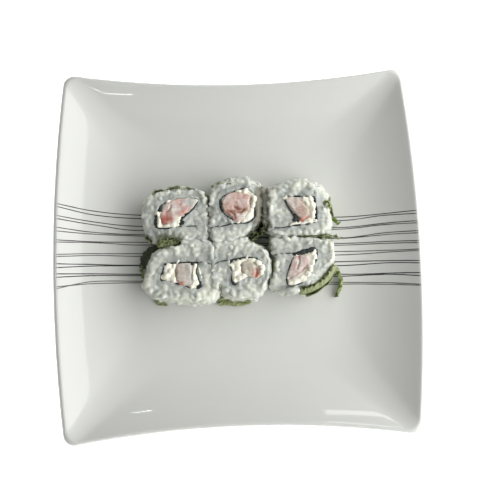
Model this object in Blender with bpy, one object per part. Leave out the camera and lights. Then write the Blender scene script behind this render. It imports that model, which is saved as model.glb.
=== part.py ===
"""Uramaki: six rice rolls with prawn and cream cheese, some in green leaf, on their square dish.

Metres, +Z up. The origin is the middle of the dish's underside, +X is to the right of a
diner who looks at the dish, and +Y is away from them. Every roll stands on one cut face.
"""

import math
import random

import bmesh
import bpy
from mathutils import Vector

MM = 0.001
GAP = 0.3 * MM  # air between pieces that touch

# Dish
HALF_X = 117.2 * MM  # half width across two corners
HALF_Y = 126.0 * MM
SIDE_SWELL = 7.8 * MM  # the left and right sides swell outwards
END_HOLLOW = 9.7 * MM  # the near and far sides curve inwards
RIM_CORNER = 8 * MM  # corner radius at the rim
FLOOR_CORNER = 24 * MM  # corner radius where the floor starts to rise
RIM_HEIGHT = 22 * MM
FLOOR_HEIGHT = 6.5 * MM
DISH_WALL = 4 * MM
FLOOR_SHARE = 0.6  # how far out the floor is flat, as a share of the rim
RISE_POWER = 1.9  # how the side's slope grows towards the rim
CORNER_STEPS = 3
SIDE_STEPS = 8

# Rolls
BASE = FLOOR_HEIGHT + GAP
GRAIN_WIDTH = 2.7 * MM
AROUND = 40  # points round one roll, about half a grain apart
SIDE_RINGS = 7
TOP_SHARES = (0.87, 0.74, 0.6, 0.45)
BUMP_OUT = 0.6 * MM
BUMP_IN = 0.9 * MM
BARREL = 0.8 * MM  # how much the side bellies out at half height
SPREAD = 1.2 * MM  # how much the foot of every roll spreads
NORI = 0.8 * MM
NORI_POINTS = 28
PRAWN_POINTS = 20
LEAF = 0.5 * MM
LEAF_CLEAR = BUMP_OUT + GAP + LEAF

# Seams where rolls press on each other: place along the seam, place of the seam, half of the
# space that the rolls leave there, in mm. A leaf lies in the wide stretches.
ROW_SEAM = (
    (-64, 4.6, 0.3), (-56, 5.4, 2.2), (-40, 5.6, 2.4), (-36, 6.0, 0.3), (-20, 4.6, 0.3),
    (-12, 4.0, 0.3), (0, 6.3, 0.3), (14, 7.0, 0.3), (36, 7.6, 0.3), (40, 7.6, 1.1), (64, 7.0, 1.1),
)
SEAM_12 = ((0, -19.6, 0.3), (20, -19.6, 0.6), (26, -19.7, 1.1), (44, -19.7, 1.1))
SEAM_23 = ((0, 19.5, 1.0), (18, 19.5, 1.0), (24, 20.3, 0.3), (50, 20.3, 0.3))
SEAM_45 = ((6, -18.0, 0.3), (-4, -18.0, 0.3), (-16, -16.6, 0.3), (-21, -14.9, 0.3), (-34, -13.4, 0.3))
SEAM_56 = ((6, 20.8, 0.3), (-3, 21.3, 0.4), (-8, 22.9, 1.0), (-14, 23.1, 1.0), (-20, 20.8, 0.3), (-32, 20.0, 0.3))

# One roll each, in mm: the edge of its cut face, the nori from its outer end inwards, the
# prawn, the height of the cut face, and how far the foot spreads right and away.
ROLLS = {
    "1": {
        "edge": [(-60, 37), (-51, 40.2), (-38, 41.5), (-27, 40), (-21.2, 35), (-20.8, 24), (-20.4, 13),
                 (-21, 5.6), (-32, 6), (-43, 8.6), (-54, 7.2), (-61, 13), (-63.2, 22), (-62, 32)],
        "nori": [(-21.6, 15.6), (-31, 16.2), (-38, 16.2), (-46, 15.2), (-54.3, 15.8), (-55, 21),
                 (-52.5, 28.5), (-48, 32.6), (-41, 34.9), (-29.5, 35.2), (-26.6, 33), (-31, 26.7),
                 (-36.5, 22), (-38.2, 18.4)],
        "prawn": [(-48, 31.5), (-41, 33), (-35.7, 33), (-32.5, 30.5), (-32, 27.5), (-37, 23.8),
                  (-42, 22.2), (-46.5, 18.4), (-50.3, 17.9), (-51, 21), (-49.6, 25)],
        "top": 28.5, "foot": (0, 0),
    },
    "2": {
        "edge": [(-17.8, 38), (-14, 42.5), (-4, 45.6), (4, 46), (11, 42.5), (15.5, 35), (15.3, 26),
                 (14.2, 18.5), (9.6, 12), (5, 7.8), (-5, 5.8), (-17.2, 4.7), (-18.4, 14), (-18.5, 28)],
        "nori": [(-17.9, 14.7), (-10, 15.8), (-2, 16.9), (5, 17.2), (9, 18.6), (11.2, 22), (10.8, 27),
                 (12.4, 33.2), (9.5, 37.8), (6.2, 40.8), (1, 39.4), (-4, 37.5), (-9.7, 35.4), (-12, 31),
                 (-10.8, 25.4), (-6.2, 21.5), (-3.6, 19.4)],
        "prawn": [(-9.8, 31), (-8, 34.4), (-2.8, 36), (2.3, 36.6), (7.6, 35.2), (8.6, 30.8), (7, 26),
                  (4.5, 22.8), (2.3, 19.4), (-0.3, 19.2), (-3.2, 21.2), (-6.3, 23.2), (-8.8, 26.4)],
        "top": 29.8, "foot": (5.5, 5.5),
    },
    "3": {
        "edge": [(21, 37), (26, 41), (38, 43.8), (49, 43), (57.5, 39.2), (59.5, 30), (60.8, 20),
                 (59.5, 11.5), (52, 8.8), (38, 8.6), (22.4, 9), (21.2, 14), (20.8, 26)],
        "nori": [(21.8, 13.8), (27, 13.5), (33, 14), (40, 15), (46, 15.4), (52.1, 16.8), (52.5, 22),
                 (52.2, 28), (51.4, 33.8), (45, 34.3), (38, 34.4), (32.8, 34.4), (31.6, 31.8),
                 (34.5, 26), (37.4, 21), (36.2, 17.6)],
        "prawn": [(33.8, 32), (40.5, 32.6), (43.5, 30.6), (46.6, 27.6), (47.7, 20.6), (43.6, 18.2),
                  (40.9, 19.4), (38.6, 24), (35.8, 27.6)],
        "top": 28.6, "foot": (3, 5),
    },
    "4": {
        "edge": [(-57, -2.5), (-50, 1.2), (-42, 3), (-34, 5.5), (-21.5, 4.4), (-18.4, -3), (-17.6, -12),
                 (-16, -20), (-15.3, -27), (-18.5, -33), (-29, -33.4), (-44, -31.7), (-56, -29.2),
                 (-63, -24), (-61, -14)],
        "nori": [(-18.6, -9.6), (-24, -7.7), (-29.5, -8.2), (-36, -7.6), (-42, -8.3), (-48.8, -8.2),
                 (-50.8, -13.5), (-53, -18.6), (-49, -19.7), (-41, -21.8), (-33.5, -24.4), (-27.4, -25.3),
                 (-26.2, -22), (-28.6, -15.5), (-28.2, -11.4)],
        "prawn": [(-42.2, -10.4), (-36.5, -9.7), (-32, -10.8), (-30.9, -13), (-31.7, -17),
                  (-31.5, -21.2), (-34, -22.4), (-37.1, -21.2), (-40.9, -19.3), (-42.5, -16)],
        "top": 28.0, "foot": (0, 0),
    },
    "5": {
        "edge": [(-17.2, 1), (-12, 3), (-5, 4.8), (3, 5.6), (10, 3.4), (16.5, -0.4), (20, -4.5),
                 (21.4, -11), (20.9, -16.4), (18, -20), (16, -26), (11, -30.8), (2, -31.4),
                 (-8, -29.9), (-12, -25), (-15.4, -18), (-17.2, -8)],
        "nori": [(-16.6, -9.7), (-13, -8), (-6, -7), (0, -6.2), (6, -5.8), (11.2, -6.6), (15, -10.5),
                 (16.2, -14.5), (13.5, -18.9), (10.3, -20.1), (5, -18.9), (0, -21.2), (-3.4, -23.6),
                 (-5.6, -22.4), (-5.8, -18.5), (-5.2, -14.8), (-6.4, -10.8)],
        "prawn": [(-0.4, -11.2), (4.6, -8.6), (9.5, -9.6), (13, -13), (13.8, -15.6), (11.8, -17.8),
                  (9.6, -17.6), (7, -16.6), (4, -16.4), (1.4, -14.8)],
        "top": 28.5, "foot": (0, 0),
    },
    "6": {
        "edge": [(22, 5.4), (30, 6.6), (41, 6.4), (52, 5.8), (61, 4.6), (63, -3), (62, -12), (58, -20),
                 (52, -25), (43, -28.4), (30, -28.6), (21.8, -26), (22, -18), (24.4, -11), (22.4, -3)],
        "nori": [(23.2, -4.8), (29, -3.6), (35, -4), (40, -3), (46, -1.3), (51.5, -1), (51.4, -5.5),
                 (50, -11), (46.8, -17.3), (42, -22.8), (37, -24.7), (32.2, -24.9), (30.8, -21),
                 (32.6, -14), (34.8, -9), (35.8, -6.6)],
        "prawn": [(36.6, -8.4), (39.5, -6), (42.3, -5.4), (45, -7.1), (45.9, -11.4), (44, -14.1),
                  (39, -17.5), (35.6, -20.3), (33, -20.4), (34.2, -15.9), (35.8, -11.8)],
        "top": 28.0, "foot": (0, 0),
    },
}

# Leaf that hugs a roll: roll, first and last direction from the roll's middle in degrees, low
# and high edge at both ends in mm, and how far the high edge leans out in mm.
HUGGING_LEAVES = {
    "leaf_1_back": ("1", (150, 84), (12, 14), (27.6, 28.6), 0.8),
    "leaf_1_corner": ("1", (70, 8), (11, 13), (28.4, 27.4), 0.0),
    "leaf_1_side": ("1", (178, 222), (7.4, 9), (16, 21), 1.4),
    "leaf_2_corner": ("2", (133, 98), (11, 14), (28.6, 30.2), 0.2),
    "leaf_2_front": ("2", (300, 335), (13, 12), (25.5, 22), 1.2),
    "leaf_3_side": ("3", (22, -22), (7.6, 7.4), (17.5, 14.5), 1.6),
    "leaf_4_side": ("4", (184, 206), (7.4, 7.4), (16.5, 15.5), 1.5),
    "leaf_6_front": ("6", (-78, -6), (7.4, 8.2), (15, 20.5), 1.2),
}

# Leaf that stands in a seam: seam, whether it runs along X, first and last place, low and
# high edge in mm, how far it slants across the seam in mm.
SEAM_LEAVES = {
    "leaf_1_4": (ROW_SEAM, True, (-55, -40.5), (18, 26.5), 2.6),
    "leaf_3_6": (ROW_SEAM, True, (41.5, 63), (14, 26.2), 0.5),
    "leaf_5_6": (SEAM_56, False, (-7.6, -15), (16, 27.4), 0.5),
}

# Leaf that lies on the dish: its midline in mm and its half widths in mm.
LYING_LEAVES = {
    "leaf_4_front": ([(-59.2, -31.2), (-56, -32.8), (-52.6, -34.2), (-49.6, -35.2)], (0.7, 1.9, 1.6, 0.5)),
    "leaf_5_front": ([(-15.4, -35.2), (-9, -34.6), (-1, -35.0), (7.6, -34.4)], (0.8, 2.2, 2.5, 1.0)),
    "leaf_6_curl": ([(67.4, -12), (69.4, -18), (70.4, -24), (68.2, -28.4), (66, -33)], (0.8, 1.5, 1.3, 1.5, 0.7)),
}

# Colours, as linear RGB, and roughness
PORCELAIN = ((0.80, 0.80, 0.77), 0.15)
RICE = ((0.72, 0.75, 0.70), 0.45)
SEAWEED = ((0.018, 0.022, 0.018), 0.55)
CHEESE = ((0.86, 0.82, 0.70), 0.5)
PRAWN = ((0.78, 0.50, 0.42), 0.4)
GREEN = ((0.10, 0.16, 0.05), 0.5)


def clear_scene():
    for obj in list(bpy.data.objects):
        bpy.data.objects.remove(obj, do_unlink=True)


def material(name, look):
    colour, roughness = look
    made = bpy.data.materials.new(name)
    made.use_nodes = True
    shader = made.node_tree.nodes["Principled BSDF"]
    shader.inputs["Base Color"].default_value = (*colour, 1)
    shader.inputs["Roughness"].default_value = roughness
    shader.inputs["Metallic"].default_value = 0
    return made


def mesh_object(name, bm, look, smooth_angle=40):
    """Turns a bmesh into an object with its own material and outward normals."""
    bmesh.ops.recalc_face_normals(bm, faces=bm.faces)
    mesh = bpy.data.meshes.new(name)
    bm.to_mesh(mesh)
    bm.free()
    mesh.shade_smooth()
    mesh.set_sharp_from_angle(angle=math.radians(smooth_angle))
    obj = bpy.data.objects.new(name, mesh)
    mesh.materials.append(material(name, look))
    bpy.context.scene.collection.objects.link(obj)
    return obj


def helper(obj):
    """Marks a cutter or guide, which isn't part of the model."""
    obj.hide_render = True
    obj.display_type = "WIRE"
    return obj


def apply_modifiers(obj):
    graph = bpy.context.evaluated_depsgraph_get()
    mesh = bpy.data.meshes.new_from_object(obj.evaluated_get(graph))
    obj.modifiers.clear()
    obj.data = mesh


def boolean(obj, operation, other):
    """Joins or cuts obj by another object or by a collection of them, which it then removes."""
    step = obj.modifiers.new(operation.title(), "BOOLEAN")
    step.operation = operation
    step.solver = "EXACT"
    if isinstance(other, bpy.types.Collection):
        step.operand_type = "COLLECTION"
        step.collection = other
        others = list(other.objects)
    else:
        step.object = other
        others = [other]
    apply_modifiers(obj)
    for used in others:
        bpy.data.objects.remove(used, do_unlink=True)
    if isinstance(other, bpy.types.Collection):
        bpy.data.collections.remove(other)


# Curves and outlines, as lists of 2-D points


def smooth_curve(points, closed, steps=8):
    """A curve through the points, with the given steps between each pair."""
    found = []
    count = len(points)
    for i in range(count if closed else count - 1):
        if closed:
            four = [Vector(points[(i + k) % count]) for k in (-1, 0, 1, 2)]
        else:
            four = [Vector(points[min(max(i + k, 0), count - 1)]) for k in (-1, 0, 1, 2)]
        a, b, c, d = four
        for step in range(steps):
            t = step / steps
            found.append(
                0.5 * (2 * b + (c - a) * t + (2 * a - 5 * b + 4 * c - d) * t**2 + (3 * b - a - 3 * c + d) * t**3)
            )
    if not closed:
        found.append(Vector(points[-1]))
    return found


def evenly_spaced(points, count, closed):
    path = points + [points[0]] if closed else points
    lengths = [0.0]
    for a, b in zip(path, path[1:]):
        lengths.append(lengths[-1] + (b - a).length)
    pieces = count if closed else count - 1
    spaced = []
    at = 0
    for i in range(count):
        wanted = lengths[-1] * i / pieces
        while at < len(lengths) - 2 and lengths[at + 1] < wanted:
            at += 1
        span = max(lengths[at + 1] - lengths[at], 1e-12)
        spaced.append(path[at].lerp(path[at + 1], min((wanted - lengths[at]) / span, 1)))
    return spaced


def sideways(points, distance, closed):
    """The curve moved to its left by the distance, corners a little further so that no side comes nearer."""
    moved = []
    last = len(points) - 1
    for i, point in enumerate(points):
        arrive = (point - points[i - 1]).normalized() if closed or i > 0 else None
        leave = (points[(i + 1) % len(points)] - point).normalized() if closed or i < last else arrive
        arrive = arrive or leave
        along = (arrive + leave).normalized()
        corner = max(along.dot(leave), 0.35)
        moved.append(point + Vector((-along.y, along.x)) * distance / corner)
    return moved


def signed_area(points):
    return sum(a.x * b.y - b.x * a.y for a, b in zip(points, points[1:] + points[:1])) / 2


def grown(points, distance):
    """A closed outline made larger by the distance, or smaller where it is negative."""
    outwards = -distance if signed_area(points) > 0 else distance
    return sideways(points, outwards, True)


def middle(points):
    return sum(points, Vector((0, 0))) / len(points)


def in_metres(points):
    return [Vector(point) * MM for point in points]


def along_table(table, at):
    """The two values that a table of seam rows gives at a place, both in metres."""
    rows = sorted(table)
    at = min(max(at / MM, rows[0][0]), rows[-1][0])
    for low, high in zip(rows, rows[1:]):
        if at <= high[0]:
            t = (at - low[0]) / (high[0] - low[0])
            return tuple((low[k] + (high[k] - low[k]) * t) * MM for k in (1, 2))
    return rows[-1][1] * MM, rows[-1][2] * MM


# Solids


def add_ring(bm, points):
    return [bm.verts.new(point) for point in points]


def skin(bm, low, high, lifts=None):
    """Joins two rings with triangles. A quad is split between its two corners that stand out most."""
    count = len(low)
    for i in range(count):
        j = (i + 1) % count
        corners = (low[i], low[j], high[j], high[i])
        if lifts is None:
            bm.faces.new(corners)
            continue
        if lifts[corners[0]] + lifts[corners[2]] > lifts[corners[1]] + lifts[corners[3]]:
            bm.faces.new((corners[0], corners[1], corners[2]))
            bm.faces.new((corners[0], corners[2], corners[3]))
        else:
            bm.faces.new((corners[0], corners[1], corners[3]))
            bm.faces.new((corners[1], corners[2], corners[3]))


def plug(name, outline, low, high, look, dome=0.0, uneven=0.0, seed=0, shares=(0.72, 0.4)):
    """A standing plug with this outline. Its top can be domed and uneven, by rings at these shares."""
    rng = random.Random(seed)
    bm = bmesh.new()
    bottom = add_ring(bm, [(p.x, p.y, low) for p in outline])
    edge = add_ring(bm, [(p.x, p.y, high + rng.uniform(-uneven, uneven)) for p in outline])
    skin(bm, bottom, edge)
    bm.faces.new(bottom)
    if not dome:
        bm.faces.new(edge)
        return mesh_object(name, bm, look)
    centre = middle(outline)
    ring = edge
    for share in shares:
        rise = dome * (1 - share**2)
        inner = []
        for p in outline:
            q = centre.lerp(p, share)
            inner.append((q.x, q.y, high + rise + rng.uniform(-uneven, uneven)))
        inner = add_ring(bm, inner)
        skin(bm, ring, inner)
        ring = inner
    bm.faces.new(ring)
    bmesh.ops.triangulate(bm, faces=bm.faces)
    return mesh_object(name, bm, look)


# Dish


def rim_shape(share):
    """A ring of 2-D points round the dish at this share of the way to the rim."""
    blend = min(max((share - FLOOR_SHARE) / (1 - FLOOR_SHARE), 0), 1)
    radius = FLOOR_CORNER + (RIM_CORNER - FLOOR_CORNER) * blend
    half = Vector((HALF_X * share, HALF_Y * share))
    corners = ((1, 1, 0), (-1, 1, 90), (-1, -1, 180), (1, -1, 270))
    ring = []
    for i, (sx, sy, start) in enumerate(corners):
        middle_of_arc = Vector((sx * (half.x - radius), sy * (half.y - radius)))
        for step in range(CORNER_STEPS + 1):
            turn = math.radians(start + 90 * step / CORNER_STEPS)
            ring.append(middle_of_arc + radius * Vector((math.cos(turn), math.sin(turn))))
        nx, ny, _ = corners[(i + 1) % 4]
        begin = ring[-1]
        turn = math.radians(start + 90)
        end = Vector((nx * (half.x - radius), ny * (half.y - radius)))
        end += radius * Vector((math.cos(turn), math.sin(turn)))
        ring += [begin.lerp(end, step / SIDE_STEPS) for step in range(1, SIDE_STEPS)]
    curve = blend**0.5
    bent = []
    for p in ring:
        swell = SIDE_SWELL * curve * (1 - (p.y / half.y) ** 2)
        hollow = END_HOLLOW * curve * (1 - (p.x / half.x) ** 2)
        bent.append(Vector((p.x * (1 + swell / HALF_X), p.y * (1 - hollow / HALF_Y))))
    return bent


def dish_height(share):
    """Height of the upper surface at this share of the way to the rim."""
    blend = min(max((share - FLOOR_SHARE) / (1 - FLOOR_SHARE), 0), 1)
    return FLOOR_HEIGHT + (RIM_HEIGHT - FLOOR_HEIGHT) * blend**RISE_POWER


def dish_rings():
    """(share, height) of every ring, from the middle of the floor out, round the lip and back below."""
    upper = [FLOOR_SHARE + (0.972 - FLOOR_SHARE) * k / 7 for k in range(8)]
    rings = [(share, dish_height(share / 0.972) if share > FLOOR_SHARE else FLOOR_HEIGHT) for share in upper]
    rings += [(0.982, RIM_HEIGHT + 0.5 * MM), (0.994, RIM_HEIGHT), (1.0, RIM_HEIGHT - 1.8 * MM)]
    for share in (0.985, 0.95, 0.89, 0.8, 0.7, 0.62):
        rings.append((share, dish_height(share) - DISH_WALL))
    underside = FLOOR_HEIGHT - DISH_WALL
    rings += [(0.6, underside), (0.585, 0), (0.545, 0), (0.53, underside)]
    return rings


def dish():
    bm = bmesh.new()
    rings = [add_ring(bm, [(p.x, p.y, height) for p in rim_shape(share)]) for share, height in dish_rings()]
    for low, high in zip(rings, rings[1:]):
        skin(bm, low, high)
    bm.faces.new(rings[0])
    bm.faces.new(rings[-1])
    return mesh_object("plate", bm, PORCELAIN)


# Rolls


class Roll:
    """One roll's outlines in metres, worked out from its row in ROLLS."""

    def __init__(self, key):
        row = ROLLS[key]
        self.key = key
        self.edge = smooth_curve(in_metres(row["edge"]), True)
        self.centre = middle(self.edge)
        self.top = row["top"] * MM
        self.foot = Vector(row["foot"]) * MM
        self.nori = evenly_spaced(smooth_curve(in_metres(row["nori"]), False), NORI_POINTS, False)
        self.loop = self.closed_loop()
        self.prawn = self.prawn_outline(row["prawn"])
        rays = [(p - self.centre) for p in self.edge]
        self.reach = sorted((math.atan2(ray.y, ray.x), ray.length) for ray in rays)

    def closed_loop(self):
        """The part of the nori that closes round the filling."""
        end = self.nori[-1]
        half = len(self.nori) // 2
        start = min(range(half), key=lambda i: (self.nori[i] - end).length)
        return self.nori[start:]

    def prawn_outline(self, points):
        """The prawn's outline, kept off the nori so that cheese shows all round it."""
        clear = NORI / 2 + 2 * GAP + 0.7 * MM
        outline = []
        for point in evenly_spaced(smooth_curve(in_metres(points), True), PRAWN_POINTS, True):
            near = min(self.loop, key=lambda p: (p - point).length)
            away = point - near
            outline.append(near + away.normalized() * max(away.length, clear))
        return outline

    def radius(self, angle):
        """Distance from the middle to the edge of the cut face in this direction."""
        angle = math.remainder(angle, 2 * math.pi)
        first, last = self.reach[0], self.reach[-1]
        rows = [(last[0] - 2 * math.pi, last[1]), *self.reach, (first[0] + 2 * math.pi, first[1])]
        for (a, low), (b, high) in zip(rows, rows[1:]):
            if a <= angle <= b:
                return low + (high - low) * (angle - a) / max(b - a, 1e-9)
        return first[1]

    def side(self, angle, share, out=0.0):
        """2-D point on the side, share of the way up, moved out by a distance. It stays inside the seams."""
        way = Vector((math.cos(angle), math.sin(angle)))
        low = (1 - share) ** 1.3
        reach = self.radius(angle) + BARREL * math.sin(math.pi * share) + SPREAD * low + out
        spread = Vector((max(way.x, 0) * self.foot.x, max(way.y, 0) * self.foot.y)) * low
        return self.centre + way * reach + spread

    def between_seams(self, p, keep=1.0):
        """The point pushed back to its own side of the seams round this roll, by this share of their space."""
        row, space = along_table(ROW_SEAM, p.x)
        upper = self.key in "123"
        y = max(p.y, row + space * keep) if upper else min(p.y, row - space * keep)
        left = {"2": SEAM_12, "3": SEAM_23, "5": SEAM_45, "6": SEAM_56}.get(self.key)
        right = {"1": SEAM_12, "2": SEAM_23, "4": SEAM_45, "5": SEAM_56}.get(self.key)
        x = p.x
        if left:
            seam, space = along_table(left, y)
            x = max(x, seam + space * keep)
        if right:
            seam, space = along_table(right, y)
            x = min(x, seam - space * keep)
        return Vector((x, y))


def rice_body(roll):
    """The block of rice, covered in bumps of a grain's size."""
    rng = random.Random(f"rice {roll.key}")
    bm = bmesh.new()
    lifts = {}
    angles = [2 * math.pi * i / AROUND for i in range(AROUND)]
    rings = []
    for level in range(SIDE_RINGS + 1):
        share = level / SIDE_RINGS
        inset = GRAIN_WIDTH * 0.35 if level == SIDE_RINGS else 0
        ring = []
        for angle in angles:
            lift = rng.uniform(-BUMP_IN, BUMP_OUT)
            p = roll.between_seams(roll.side(angle + (level % 2) * math.pi / AROUND, share, lift - inset))
            z = BASE + (roll.top - BASE) * share
            if 0 < level:
                z += rng.uniform(-0.5, 0.5) * MM
            vert = bm.verts.new((p.x, p.y, z))
            lifts[vert] = lift
            ring.append(vert)
        rings.append(ring)
    for level, reach in enumerate(TOP_SHARES):
        ring = []
        for angle in angles:
            lift = rng.uniform(-BUMP_IN, BUMP_OUT) * 0.8
            edge = roll.between_seams(roll.side(angle + (level % 2) * math.pi / AROUND, 1, -GRAIN_WIDTH * 0.35))
            p = roll.centre.lerp(edge, reach)
            vert = bm.verts.new((p.x, p.y, roll.top + lift))
            lifts[vert] = lift
            ring.append(vert)
        rings.append(ring)
    for low, high in zip(rings, rings[1:]):
        skin(bm, low, high, lifts)
    bm.faces.new(rings[0])
    bm.faces.new(rings[-1])
    bmesh.ops.triangulate(bm, faces=bm.faces)
    return mesh_object(f"rice_{roll.key}", bm, RICE, 25)


def rice(roll):
    """The block of rice with room cut for the nori, from its outer end to the filling."""
    body = rice_body(roll)
    room = NORI / 2 + GAP
    for name, outline in (
        ("room for the filling", grown(roll.loop, room)),
        ("room for the nori", sideways(roll.nori, room, False) + sideways(roll.nori, -room, False)[::-1]),
    ):
        cutter = helper(plug(name, outline, 0, roll.top + 20 * MM, RICE))
        boolean(body, "DIFFERENCE", cutter)
    return body


def nori(roll):
    half = NORI / 2
    outline = sideways(roll.nori, half, False) + sideways(roll.nori, -half, False)[::-1]
    return plug(f"nori_{roll.key}", outline, BASE, roll.top + 0.2 * MM, SEAWEED, 0, 0.25 * MM, roll.key)


def cheese(roll):
    outline = grown(roll.loop, -(NORI / 2 + GAP))
    name = f"cheese_{roll.key}"
    body = plug(name, outline, BASE, roll.top - 0.2 * MM, CHEESE, 0.5 * MM, 0.3 * MM, roll.key, (0.7,))
    hole = grown(roll.prawn, GAP)
    boolean(body, "DIFFERENCE", helper(plug("room for the prawn", hole, 0, roll.top + 20 * MM, CHEESE)))
    return body


def prawn(roll):
    return plug(f"prawn_{roll.key}", roll.prawn, BASE, roll.top, PRAWN, 1.1 * MM, 0.25 * MM, roll.key)


# Leaves


def sheet(name, rows):
    """A thin wavy leaf through a grid of points, both of its faces split alike."""
    bm = bmesh.new()
    grid = [[bm.verts.new(point) for point in row] for row in rows]
    for low, high in zip(grid, grid[1:]):
        for i in range(len(low) - 1):
            bm.faces.new((low[i], low[i + 1], high[i + 1], high[i]))
    bmesh.ops.triangulate(bm, faces=bm.faces)
    obj = mesh_object(name, bm, GREEN)
    solid = obj.modifiers.new("Thickness", "SOLIDIFY")
    solid.thickness = LEAF
    solid.offset = 0
    return obj


def ruffle(i, count, seed):
    """A wave along a leaf, from -1 to 1, flat at neither end."""
    return math.sin(2.3 * i + seed) * 0.7 + math.sin(5.1 * i / count + 2 * seed) * 0.3


def hugging_leaf(name, roll, turn, low, high, lean, count=8):
    rows = []
    seed = len(name) + turn[0]
    for level in (0, 0.5, 1):
        row = []
        for i in range(count):
            t = i / (count - 1)
            angle = math.radians(turn[0] + (turn[1] - turn[0]) * t)
            top = (high[0] + (high[1] - high[0]) * t + 0.9 * ruffle(i, count, seed)) * MM
            bottom = (low[0] + (low[1] - low[0]) * t) * MM
            z = bottom + (top - bottom) * level
            share = min(max((z - BASE) / (roll.top - BASE), 0), 1)
            wave = 0.35 * MM * (1 + ruffle(i, count, seed + 1)) * level
            out = LEAF_CLEAR + lean * MM * level + wave
            p = roll.between_seams(roll.side(angle, share, out), 0)
            row.append((p.x, p.y, z))
        rows.append(row)
    return sheet(name, rows)


def seam_leaf(name, seam, runs_along_x, ends, heights, slant, count=8):
    rows = []
    for level in (0, 0.5, 1):
        row = []
        for i in range(count):
            t = i / (count - 1)
            at = (ends[0] + (ends[1] - ends[0]) * t) * MM
            across = along_table(seam, at)[0] + slant * MM * (level - 0.5)
            across += 0.15 * MM * ruffle(i, count, level)
            z = (heights[0] + (heights[1] - heights[0]) * level) * MM
            z += 0.8 * MM * ruffle(i, count, 2) * level
            row.append((at, across, z) if runs_along_x else (across, at, z))
        rows.append(row)
    return sheet(name, rows)


def lying_leaf(name, line, widths, count=8):
    path = evenly_spaced(smooth_curve(in_metres(line), False), count, False)
    rows = []
    for side in (-1, 0, 1):
        row = []
        for i, p in enumerate(path):
            at = i / (count - 1) * (len(widths) - 1)
            k = min(int(at), len(widths) - 2)
            half = (widths[k] + (widths[k + 1] - widths[k]) * (at - k)) * MM
            ahead = (path[min(i + 1, count - 1)] - path[max(i - 1, 0)]).normalized()
            q = p + Vector((-ahead.y, ahead.x)) * half * side
            z = FLOOR_HEIGHT + GAP + LEAF + (0.7 + 0.5 * ruffle(i, count, side)) * MM
            row.append((q.x, q.y, z))
        rows.append(row)
    return sheet(name, rows)


def build():
    clear_scene()
    dish()
    rolls = {key: Roll(key) for key in ROLLS}
    for roll in rolls.values():
        rice(roll)
        nori(roll)
        cheese(roll)
        prawn(roll)
    for name, (key, turn, low, high, lean) in HUGGING_LEAVES.items():
        hugging_leaf(name, rolls[key], turn, low, high, lean)
    for name, row in SEAM_LEAVES.items():
        seam_leaf(name, *row)
    for name, row in LYING_LEAVES.items():
        lying_leaf(name, *row)


build()
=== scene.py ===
"""Six uramaki rolls with prawn and cream cheese on a square porcelain dish.

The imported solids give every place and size. This file gives them their looks: rice
becomes real grains, the fillings get their lumps, folds and colours, the leaves their
ragged edges, and the dish its glaze and its printed lines.
"""

import math
import random
from itertools import product

import bmesh
import bpy
from bpy.props import FloatProperty, FloatVectorProperty, IntProperty, PointerProperty
from mathutils import Matrix, Vector, noise
from mathutils.bvhtree import BVHTree
from mathutils.kdtree import KDTree


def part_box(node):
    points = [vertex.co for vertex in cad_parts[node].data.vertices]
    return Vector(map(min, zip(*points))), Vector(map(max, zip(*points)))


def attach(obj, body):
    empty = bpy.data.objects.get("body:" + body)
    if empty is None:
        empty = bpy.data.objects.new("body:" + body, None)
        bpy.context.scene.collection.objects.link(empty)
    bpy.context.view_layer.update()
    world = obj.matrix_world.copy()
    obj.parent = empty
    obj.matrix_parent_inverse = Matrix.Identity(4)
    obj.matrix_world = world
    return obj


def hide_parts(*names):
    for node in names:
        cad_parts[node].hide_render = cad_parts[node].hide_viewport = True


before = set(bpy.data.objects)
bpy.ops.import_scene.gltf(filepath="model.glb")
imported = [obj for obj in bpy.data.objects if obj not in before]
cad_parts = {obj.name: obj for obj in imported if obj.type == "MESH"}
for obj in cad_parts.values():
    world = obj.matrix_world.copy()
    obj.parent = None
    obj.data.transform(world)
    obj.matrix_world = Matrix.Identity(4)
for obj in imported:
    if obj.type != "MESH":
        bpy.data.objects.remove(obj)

bl_info = {
    "name": "Uramaki on a Square Dish",
    "version": (1, 0, 0),
    "blender": (4, 5, 0),
    "location": "3D View > Sidebar > Uramaki",
    "description": "Rice rolls with prawn and cream cheese, leaf and seaweed, on a printed dish",
    "category": "Object",
}

MM = 0.001
ROLLS = "123456"  # 1 to 3 are the far row from left to right, 4 to 6 the near row

# The dish's shape, as in the solid, in metres
HALF_X = 117.2 * MM
HALF_Y = 126.0 * MM
SIDE_SWELL = 7.8 * MM
END_HOLLOW = 9.7 * MM
RIM_CORNER = 8 * MM
FLOOR_CORNER = 24 * MM
RIM_HEIGHT = 22 * MM
FLOOR_HEIGHT = 6.5 * MM
DISH_WALL = 4 * MM
FLOOR_SHARE = 0.6
RISE_POWER = 1.9
LIP_START = 0.972  # share at which the wall turns into the lip
CORNER_STEPS = 10
SIDE_STEPS = 36
WALL_RINGS = 26

# Without a seed the noise starts from the time of day, and no two runs are the same
NOISE_SEED = 5
RICE_SEED = 40  # the number of the roll is added to it

# Height of the cut faces, which the fillings lie level with
TOP = {key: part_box(f"prawn_{key}")[1].z for key in ROLLS}

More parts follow.
